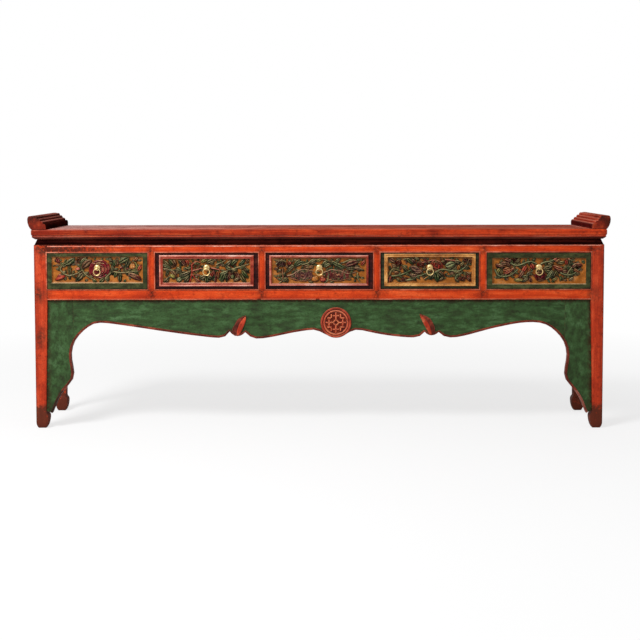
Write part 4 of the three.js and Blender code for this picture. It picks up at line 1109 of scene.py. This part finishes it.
# The drawing of the five fields, in millimetres from the middle of each. A leaf or bud has its foot, its tip,
# its half width, height, colour and bend. A vine has its points, thickness and colour. A fruit has its place,
# half width, height, colour, turn and half length. A blossom has its place, half width and half length, its
# height, its colour, the colour of its heart and the number of its outer petals.
CARVINGS = {
    1: [
        ("blossom", [((7, -7), 46, 38, 5.5, "crimson", "pink")]),
        ("vine", [
            ([(-59, -9), (-51, -25), (-33, -38), (-14, -47)], 2.6, "stem"),
            ([(53, -20), (40, -33), (30, -40), (33, -50), (42, -58)], 2.4, "stem"),
            ([(-147, -7), (-137, -22), (-114, -33), (-98, -29), (-75, -22), (-59, -9)], 2.8, "stem"),
            ([(-147, -7), (-141, 7), (-127, 17), (-114, 27)], 2.6, "olive"),
            ([(-59, -9), (-64, 4), (-66, 18), (-50, 32), (-39, 41)], 2.0, "olive"),
            ([(50, -20), (63, -5), (60, 14), (60, 30), (48, 40)], 2.2, "dark"),
            ([(63, -16), (84, -21), (110, -19), (128, -19), (152, -13), (166, -14)], 2.6, "stem"),
            ([(110, -19), (108, 0), (118, 20), (128, 30)], 2.2, "olive"),
            ([(150, 32), (158, 42)], 1.6, "pale"),
        ]),
        ("leaf", [
            ((-56, -20), (-88, -55), 11, 4.6, "dark", 3), ((-110, -28), (-112, 13), 8, 4.6, "olive"),
            ((-130, 10), (-88, 38), 11, 4.8, "green", -4), ((-60, -4), (-22, 28), 13, 5.0, "brown", 8),
            ((-145, 2), (-128, 22), 5, 4.2, "green"), ((-68, 16), (-40, 41), 6, 4.4, "pale", 3),
            ((-150, 18), (-160, 40), 7, 4.6, "crimson", 2),
        ]),
        ("bud", [
            ((-128, -30), (-168, -50), 9, 4.6, "red"), ((-140, -28), (-160, -38), 6, 5.2, "crimson"),
            ((-68, -4), (-88, -7), 6, 4.8, "pink"),
        ]),
        ("leaf", [
            ((57, -28), (62, 8), 7, 4.6, "dark", 2), ((62, 4), (78, 36), 7, 4.6, "green", -3),
            ((86, 17), (126, 38), 11, 5.0, "green", 5), ((122, 30), (106, -8), 9, 5.0, "dark", 5),
            ((78, 4), (74, 37), 7, 4.4, "brown"), ((112, 30), (88, 41), 6, 4.2, "teal", 2),
            ((84, -24), (88, -58), 8, 4.6, "dark", 2), ((120, -24), (172, -50), 11, 5.0, "maroon", 4),
            ((128, -32), (168, -36), 6, 5.2, "russet", 2), ((146, 26), (160, 42), 6, 4.4, "russet"),
            ((158, -14), (172, 12), 7, 4.6, "red", -3), ((78, -14), (66, -40), 7, 4.2, "green", -2),
            ((-20, -46), (-4, -59), 7, 4.2, "green"), ((24, -42), (8, -59), 8, 4.2, "green"),
        ]),
        ("bud", [
            ((86, -2), (102, 2), 5, 4.6, "crimson"), ((112, -6), (124, -2), 4, 4.6, "crimson"),
        ]),
        ("fruit", [((138, 4), 14, 4.6, "gold")]),
        ("vine", [([(146, 22), (155, 14), (156, 0), (148, -10), (132, -13)], 2.2, "lime")]),
        ("blossom", [
            ((-72, 31), 12, 10, 4.4, "russet", "gold", 6), ((-157, 30), 9, 9, 4.2, "red", "pink", 5),
        ]),
    ],
    2: [
        ("vine", [
            ([(-59, 13), (-57, -10), (-59, -27), (-69, -65)], 3.0, "red"),
            ([(-59, -24), (-48, -40), (-35, -59)], 2.8, "red"),
            ([(-56, -14), (-38, -8), (-19, -3)], 2.6, "pink"),
            ([(-59, 7), (-52, 20), (-36, 24), (-24, 18)], 2.2, "red"),
            ([(-84, 1), (-75, -8), (-62, 0)], 2.0, "stem"), ([(18, -2), (36, -5), (53, -11)], 2.8, "pink"),
            ([(26, -12), (36, -32), (36, -48), (32, -62)], 3.0, "maroon"),
            ([(37, 10), (56, 19), (74, 27)], 2.4, "stem"),
            ([(93, -9), (112, -3), (140, 6), (167, 14)], 2.4, "stem"),
            ([(-128, -22), (-106, -22), (-84, -14)], 1.8, "olive"),
            ([(88, -10), (72, -18), (60, -22)], 2.2, "olive"),
        ]),
        ("leaf", [
            ((-170, 28), (-138, 2), 7, 4.8, "olive", -4), ((-178, 12), (-142, -4), 6, 4.6, "pale", 3),
            ((-176, -5), (-142, -12), 5, 4.6, "cream", 2), ((-150, 32), (-132, 4), 8, 4.8, "green", 4),
            ((-134, 30), (-122, 4), 8, 4.8, "brown", 3), ((-112, 28), (-96, 6), 7, 4.4, "dark", 4),
            ((-118, 2), (-98, -12), 6, 4.6, "pale", -4), ((-152, -8), (-162, -34), 7, 4.6, "dark", 4),
            ((-142, -12), (-118, -42), 8, 4.4, "brown", 5), ((-150, -38), (-166, -60), 7, 4.6, "dark", 3),
            ((-124, -6), (-96, -20), 7, 4.8, "dark", -5), ((-64, -16), (-110, -34), 8, 5.0, "dark", 5),
            ((-66, -24), (-104, -46), 8, 4.8, "green", 4), ((-68, -34), (-90, -60), 8, 4.8, "dark", 3),
            ((-80, 8), (-102, 30), 7, 4.4, "maroon", 3), ((-70, 10), (-84, 34), 6, 4.2, "red", -3),
            ((-48, -44), (-24, -62), 6, 4.4, "red", 3), ((-22, 20), (6, 32), 7, 4.8, "lime", 3),
            ((0, 18), (34, 30), 9, 5.0, "olive", 3), ((30, 12), (4, 20), 6, 4.8, "dark", -3),
            ((24, 24), (44, 34), 4, 4.4, "cream", 2), ((-2, -34), (-30, -48), 8, 4.6, "dark", -3),
            ((2, -34), (26, -50), 8, 4.6, "dark", 3), ((0, -34), (0, -64), 8, 4.8, "green"),
            ((30, -14), (14, -44), 7, 4.4, "red", -4), ((40, -14), (44, -44), 7, 4.4, "russet", 4),
            ((76, -14), (56, -58), 11, 5.2, "green", -6), ((84, -14), (50, -26), 7, 4.8, "pale", 4),
            ((74, -20), (78, -58), 7, 4.8, "dark", 4), ((70, 4), (98, 30), 8, 4.8, "dark", -5),
            ((96, 6), (124, 32), 8, 5.0, "green", 5), ((126, 8), (150, 34), 7, 4.6, "teal", -4),
            ((98, -8), (74, 4), 8, 5.2, "teal", 3), ((98, -10), (122, -14), 6, 5.0, "green", 3),
            ((96, -18), (78, -54), 6, 4.4, "maroon", 3), ((104, -54), (136, -34), 5, 4.8, "cream", -3),
            ((132, -24), (156, -62), 9, 4.8, "olive", -5), ((138, -10), (164, -42), 8, 5.0, "green", -4),
            ((150, 2), (168, -22), 6, 4.6, "dark", -4), ((156, 18), (168, 34), 6, 4.4, "brown", 2),
            ((118, -20), (128, -50), 6, 4.2, "maroon", 3),
        ]),
        ("fruit", [
            ((-133, -33), 11, 5.0, "lime", 0.8, 13), ((-108, -48), 10, 5.0, "pale", -0.8, 13),
            ((101, -36), 9, 5.0, "green", 0.4, 11), ((-14, -50), 3.4, 5.4, "pale"),
            ((10, -51), 3.4, 5.4, "pale"),
        ]),
        ("blossom", [
            ((-93, 21), 12, 11, 4.2, "red", "pink", 6), ((104, 12), 12, 10, 4.2, "crimson", "pink", 6),
            ((104, -28), 10, 8, 4.0, "crimson", "pink", 5), ((-36, 4), 14, 13, 4.0, "russet", "gold", 6),
            ((-130, 10), 8, 8, 4.6, "russet", "cream", 5),
        ]),
    ],
    3: [
        ("blossom", [
            ((-66, -32), 44, 22, 4.2, "mauve", "crimson", 9), ((74, -30), 48, 22, 4.2, "maroon", "pink", 9),
        ]),
        ("vine", [
            ([(-126, -33), (-106, -30), (-90, -17), (-70, -8), (-52, -7), (-24, -16)], 2.2, "rosy"),
            ([(16, -21), (30, -16), (47, -8), (64, -12), (81, -11), (98, -22), (124, -26), (144, -18)],
             2.2, "rosy"),
            ([(-116, -42), (-93, -48), (-72, -54), (-50, -50), (-30, -46)], 1.4, "russet"),
            ([(28, -44), (50, -52), (74, -54), (98, -48), (124, -42)], 1.4, "russet"),
            ([(-143, -4), (-146, -24), (-140, -40), (-152, -60)], 3.2, "brown"),
            ([(-157, -62), (-146, -52), (-135, -38), (-122, -44)], 2.0, "stem"),
            ([(34, -31), (35, -44), (31, -56), (20, -62)], 2.2, "stem"),
            ([(150, -20), (148, -36), (154, -50), (160, -58)], 2.0, "stem"),
            ([(-70, 10), (-50, 14), (-34, 24), (-14, 31), (2, 33)], 2.0, "stem"),
            ([(6, 33), (26, 30), (44, 22), (58, 14)], 2.0, "olive"),
            ([(-171, 12), (-158, 26), (-144, 30), (-130, 20)], 2.2, "stem"),
            ([(92, 17), (108, 25), (127, 32), (146, 26), (160, 17)], 2.2, "stem"),
        ]),
        ("leaf", [
            ((-98, 4), (-58, 22), 9, 5.0, "teal", 4), ((-98, 6), (-74, 32), 7, 4.8, "green", 3),
            ((-84, 20), (-102, 32), 5, 4.4, "olive"), ((-100, 2), (-128, -14), 7, 4.8, "dark", -4),
            ((-104, -4), (-134, -24), 6, 4.6, "olive", -4), ((-96, 0), (-120, 6), 6, 4.6, "green", -3),
            ((-40, 18), (-14, 32), 6, 4.8, "pale", 3), ((-36, 12), (-10, 24), 6, 4.8, "dark", 3),
            ((-58, 4), (-34, -4), 8, 4.2, "brown", 3), ((-22, 6), (-46, -2), 5, 4.0, "russet"),
            ((12, 6), (34, 26), 7, 4.8, "green", 4), ((18, 0), (44, 14), 7, 4.8, "pale", 4),
            ((-8, 22), (10, 34), 6, 4.6, "lime", 2), ((46, 24), (102, -4), 9, 5.2, "teal", -3),
            ((54, 12), (92, -10), 6, 4.8, "dark", -2), ((62, 22), (84, 33), 6, 4.6, "green", 2),
            ((70, 16), (74, 34), 5, 4.4, "pale"), ((102, 4), (154, 22), 12, 5.0, "maroon", 7),
            ((104, -6), (150, -6), 8, 4.8, "dark", 3), ((134, -2), (164, -8), 6, 4.8, "mauve", 3),
            ((150, -6), (174, -12), 4, 4.6, "cream", 2), ((164, 8), (180, 30), 6, 4.8, "red", -2),
            ((-112, 8), (-122, 24), 7, 4.6, "red", -2), ((-134, 6), (-118, -4), 5, 4.6, "maroon"),
            ((-148, -8), (-168, -20), 5, 4.4, "dark", -2), ((-160, 0), (-178, -8), 5, 4.4, "maroon", 2),
            ((-142, -42), (-124, -60), 6, 4.2, "olive", 3), ((-44, -54), (-22, -62), 4, 4.0, "olive"),
            ((40, -56), (60, -62), 4, 4.0, "olive"),
        ]),
        ("fruit", [
            ((-16, -46), 15, 4.8, "gold", 0.3, 13), ((14, -48), 13, 5.2, "red", -0.3, 12),
            ((20, -34), 4, 5.2, "crimson"), ((75, -31), 3.4, 5.6, "pink"), ((56, -26), 5, 5.4, "crimson"),
            ((-84, -35), 4, 5.2, "pink"), ((177, 20), 4, 5.6, "pink"),
        ]),
        ("blossom", [
            ((-151, 17), 20, 16, 5.0, "mauve", "cream", 7), ((-116, 14), 10, 9, 4.4, "red", "pink", 5),
            ((128, 14), 15, 11, 5.4, "crimson", "mauve", 6),
        ]),
    ],
    4: [
        ("vine", [
            ([(-158, -30), (-154, -12), (-142, -6), (-128, -10), (-116, -14)], 3.2, "olive"),
            ([(-152, -36), (-121, -33), (-96, -24), (-76, -12), (-66, -10)], 3.4, "green"),
            ([(-152, -36), (-160, -48), (-156, -58)], 2.6, "red"),
            ([(-96, -50), (-76, -50), (-62, -46), (-50, -34), (-28, -32), (-8, -20)], 2.8, "pale"),
            ([(16, -24), (30, -14), (44, -8), (70, -10), (96, -16), (124, -14), (142, 4)], 3.0, "pale"),
            ([(96, -16), (104, -24), (122, -24)], 2.2, "olive"),
            ([(102, -46), (100, -38), (112, -27), (128, -22)], 2.8, "pale"),
            ([(86, -14), (98, -2), (108, 6)], 1.8, "stem"),
            ([(-104, 30), (-92, 34), (-76, 28), (-62, 30)], 2.6, "olive"),
            ([(-36, 16), (-10, 24), (20, 30), (44, 20), (50, 8)], 1.8, "pink"),
            ([(60, 30), (82, 28), (100, 26), (112, 16)], 2.4, "pink"),
            ([(-24, -48), (-12, -38), (-2, -34)], 2.0, "gold"),
            ([(140, 4), (150, 14), (152, 22)], 2.2, "dark"),
        ]),
        ("leaf", [
            ((-112, 10), (-80, -24), 5, 4.6, "olive", 3), ((-108, 6), (-96, -18), 5, 4.4, "dark", 3),
            ((-92, 34), (-66, 10), 8, 5.0, "green", 5), ((-74, 32), (-58, 14), 7, 5.0, "mauve", 4),
            ((-62, 34), (-40, 30), 5, 4.6, "pale", 3), ((-76, 4), (-34, -16), 12, 5.0, "mauve", -4),
            ((-62, -20), (-26, -12), 8, 4.8, "mauve", -4), ((-80, -28), (-40, -34), 7, 4.8, "mauve", -4),
            ((-30, -6), (-12, -10), 5, 4.4, "green"), ((-76, -36), (-52, -54), 5, 4.4, "dark", 2),
            ((-6, 12), (-22, 38), 6, 4.4, "maroon", 2), ((-14, 36), (-46, 38), 4, 4.2, "maroon"),
            ((20, -18), (4, -50), 9, 5.0, "dark", -3), ((22, -18), (30, -58), 11, 5.2, "green", 2),
            ((26, -16), (56, -46), 9, 5.0, "dark", 4), ((16, -22), (-10, -46), 6, 4.6, "green", -4),
            ((36, -52), (56, -38), 4, 4.8, "cream", 0), ((34, -12), (64, -38), 4, 4.6, "russet", 2),
            ((60, 2), (100, 16), 12, 5.2, "pale", 3), ((66, -4), (96, 0), 6, 5.0, "green", 2),
            ((96, 24), (126, 10), 8, 4.8, "dark", 5), ((116, 6), (134, 20), 6, 4.6, "olive", -3),
            ((132, 8), (158, -8), 6, 4.6, "dark", 3), ((116, 12), (108, -12), 6, 4.6, "gold", 3),
            ((142, -18), (162, -36), 6, 4.4, "brown", -3), ((144, -40), (162, -56), 7, 4.6, "maroon", 3),
            ((148, -44), (158, -28), 5, 4.4, "red", 2), ((-130, 2), (-150, 12), 6, 4.4, "brown", 3),
            ((-136, 22), (-158, 36), 8, 4.6, "maroon", 3), ((-132, -44), (-116, -58), 6, 4.2, "olive", 2),
            ((-142, -20), (-120, -22), 5, 4.4, "russet", 2), ((100, -48), (116, -58), 5, 4.4, "dark", -2),
        ]),
        ("blossom", [
            ((-123, 18), 13, 13, 4.8, "red", "pink", 6), ((-37, 12), 15, 13, 5.0, "red", "pink", 6),
            ((26, 6), 27, 23, 5.4, "red", "pink", 7), ((57, 18), 9, 8, 4.6, "pink", "cream", 5),
            ((140, 28), 10, 9, 4.6, "pink", "red", 5), ((154, 22), 9, 10, 4.6, "pink", "mauve", 5),
            ((-98, -47), 14, 8, 4.8, "pink", "red", 6), ((127, -44), 14, 10, 5.0, "pink", "crimson", 6),
            ((-154, -46), 9, 12, 4.4, "crimson", "pink", 5),
        ]),
    ],
    5: [
        ("vine", [
            ([(-171, -8), (-166, -26), (-150, -38), (-132, -38), (-110, -32), (-92, -20), (-81, -8)],
             3.0, "pale"),
            ([(-111, 17), (-98, 8), (-80, 6), (-62, 12), (-44, 21), (-24, 23), (-8, 12)], 3.0, "pale"),
            ([(8, 12), (22, 20), (44, 22), (58, 28), (72, 37)], 3.0, "pale"),
            ([(20, -6), (30, 2), (44, 8)], 2.4, "stem"),
            ([(84, -22), (104, -32), (126, -31), (146, -22), (164, -4)], 3.0, "pale"),
            ([(112, -28), (120, -12), (134, 4), (150, 10), (164, 4)], 2.4, "stem"),
            ([(62, -2), (80, -10), (100, -8), (112, 2), (124, 18)], 2.4, "olive"),
            ([(-47, -34), (-36, -26), (-22, -14)], 2.6, "stem"),
            ([(30, -48), (44, -38), (58, -26)], 2.2, "pale"),
            ([(118, 30), (128, 26), (142, 24)], 2.0, "stem"),
            ([(-160, 6), (-152, 16), (-138, 10)], 2.2, "stem"),
        ]),
        ("leaf", [
            ((-116, 28), (-136, 36), 7, 4.8, "pink", 2), ((-108, 32), (-126, 18), 6, 4.6, "maroon", 3),
            ((-120, 12), (-152, 12), 8, 4.8, "maroon", -5), ((-134, 2), (-170, 12), 6, 4.8, "crimson", 4),
            ((-108, 4), (-132, 20), 6, 4.6, "maroon", 3), ((-112, -2), (-142, -12), 8, 4.6, "russet", 4),
            ((-104, -8), (-136, -26), 7, 4.8, "red", 3), ((-150, -4), (-164, -26), 7, 4.4, "lime", -3),
            ((-142, -10), (-150, -32), 6, 4.2, "olive", -2), ((-100, 12), (-112, 34), 6, 4.6, "green", 3),
            ((-92, 14), (-70, 34), 6, 4.6, "olive", 3), ((-94, -2), (-112, -12), 5, 4.8, "pink", 3),
            ((-50, 8), (-66, -22), 8, 5.0, "red", 3), ((-60, -12), (-78, -42), 7, 5.0, "maroon", 3),
            ((-32, 14), (-20, -10), 9, 4.8, "red", 3), ((-42, -4), (-30, -22), 6, 4.4, "russet", -3),
            ((-30, -16), (-50, -42), 7, 4.8, "dark", -3), ((-42, -32), (-66, -40), 7, 4.8, "green", 3),
            ((-64, -48), (-96, -52), 6, 4.6, "lime", 3), ((-40, -38), (-66, -60), 6, 4.4, "dark", 3),
            ((-36, -40), (-30, -60), 6, 4.2, "mauve", 2), ((20, -2), (52, -8), 8, 5.0, "dark", 5),
            ((24, -14), (50, -26), 8, 5.0, "green", 3), ((36, -4), (52, 12), 6, 4.8, "pale", -3),
            ((34, 8), (58, 16), 6, 4.6, "olive", 3), ((56, -12), (32, -44), 7, 4.8, "pale", -3),
            ((60, -16), (50, -48), 7, 5.0, "dark", 3), ((64, -10), (78, -38), 7, 4.8, "olive", -3),
            ((52, -50), (74, -42), 6, 4.6, "lime", -3), ((56, 6), (100, -10), 8, 5.2, "red", -6),
            ((70, -4), (92, -24), 6, 4.8, "maroon", -3), ((92, -18), (116, -22), 7, 4.8, "maroon", 4),
            ((70, 16), (104, 22), 7, 4.8, "olive", -4), ((64, 20), (84, 32), 5, 4.6, "russet", -2),
            ((120, 6), (124, 32), 7, 4.8, "dark", -2), ((110, 8), (104, 30), 6, 4.6, "red", -2),
            ((130, -2), (152, 12), 7, 4.8, "maroon", 3), ((142, 12), (172, 6), 6, 4.8, "crimson", 3),
            ((126, -10), (130, -30), 6, 4.6, "green", 3), ((136, -8), (158, -24), 6, 4.6, "russet", 3),
            ((136, -40), (118, -52), 5, 4.4, "cream", 2), ((86, -34), (94, -54), 6, 4.4, "green", -3),
        ]),
        ("bud", [
            ((58, 26), (74, 38), 6, 5.2, "pink"), ((112, 36), (124, 28), 5, 5.0, "pink"),
        ]),
        ("fruit", [((-68, -52), 6, 5.0, "lime", 0.3, 5)]),
        ("blossom", [
            ((6, -36), 21, 21, 5.4, "crimson", "red", 7), ((-92, 28), 12, 11, 4.8, "maroon", "pink", 6),
            ((156, 2), 11, 8, 4.8, "crimson", "pink", 5), ((-160, 4), 9, 8, 4.6, "maroon", "pink", 5),
        ]),
    ],
}
SMALL_LEAVES = {1: 96, 2: 76, 3: 72, 4: 72, 5: 60}


def cut(kind, row):
    """The shapes that one row of the drawing asks for."""
    if kind == "blossom":
        return blossom(*row)
    if kind == "vine":
        return [vine(*row)]
    return [fruit(*row) if kind == "fruit" else carve(kind, *row)]


carved = {number: [shape for kind, rows in groups for row in rows for shape in cut(kind, row)]
          for number, groups in CARVINGS.items()}
for number, shapes in carved.items():
    centre = OPENING_CENTRES[number - 1]
    left, low, right, high = fields[number]
    corners = [((x - centre) * 1000, (z - FIELD_MIDDLE) * 1000) for x, z in ((left, low), (right, high))]
    under = [gilt_ground(*corners)] + undergrowth(*corners, SMALL_LEAVES[number])
    carving = joined(under + shapes, f"carving_{number}", centre)
    fixed(carving, carved_paint, f"drawer_{number}")

# The apron's two spurs are carved leaves, cut from the same board and grooved down the middle. They are
# painted red, with a painted highlight on their upper sides and painted shade on the low walls round them.
spurs = [carve("leaf", (-320, -270), (-287, -195), 11, 1.5, "spur", 5, lift=3.8, most=0.78),
         carve("leaf", (442, -268), (399, -189), 10, 1.5, "spur", -8, lift=4.0, most=0.78)]
spurs = joined(spurs, "apron_spurs", 0, level=APRON_FACE)
fixed(spurs, carved_paint, "frame")
for blank in BLANKS.values():
    bpy.data.objects.remove(blank)

# Each drawer's pull: a domed brass stud with an eye, and a ring bent from brass wire. The stud's shank goes
# through the front to a washer behind it. Fingers have kept the brass bright.
brass, tree, shader = fresh_material("rubbed_brass")
tarnish = noise(tree, whereabouts(tree), 190, 6, 0.65)
# Painted shade: the brass darkens where stud and ring close in on each other.
grime_and_shade = put(tree, "Group", {"Reach": 0.006}, node_tree=shade_and_dirt).outputs["ShadeAndDirt"]
colour = blended(tree, spread(tree, tarnish, 0.42, 0.68), tint(228, 200, 138), tint(158, 118, 64))
colour = blended(tree, grime_and_shade, colour, tint(60, 40, 20))
surfaced(tree, shader, colour, spread(tree, tarnish, 0.35, 0.7, 0.26, 0.5), tarnish, 0.25, 0.0003)
shader.inputs["Metallic"].default_value = 0.75
for number in range(1, 6):
    for part in ("stud", "ring"):
        finished(f"drawer_{number}_{part}", brass, rounding=0)
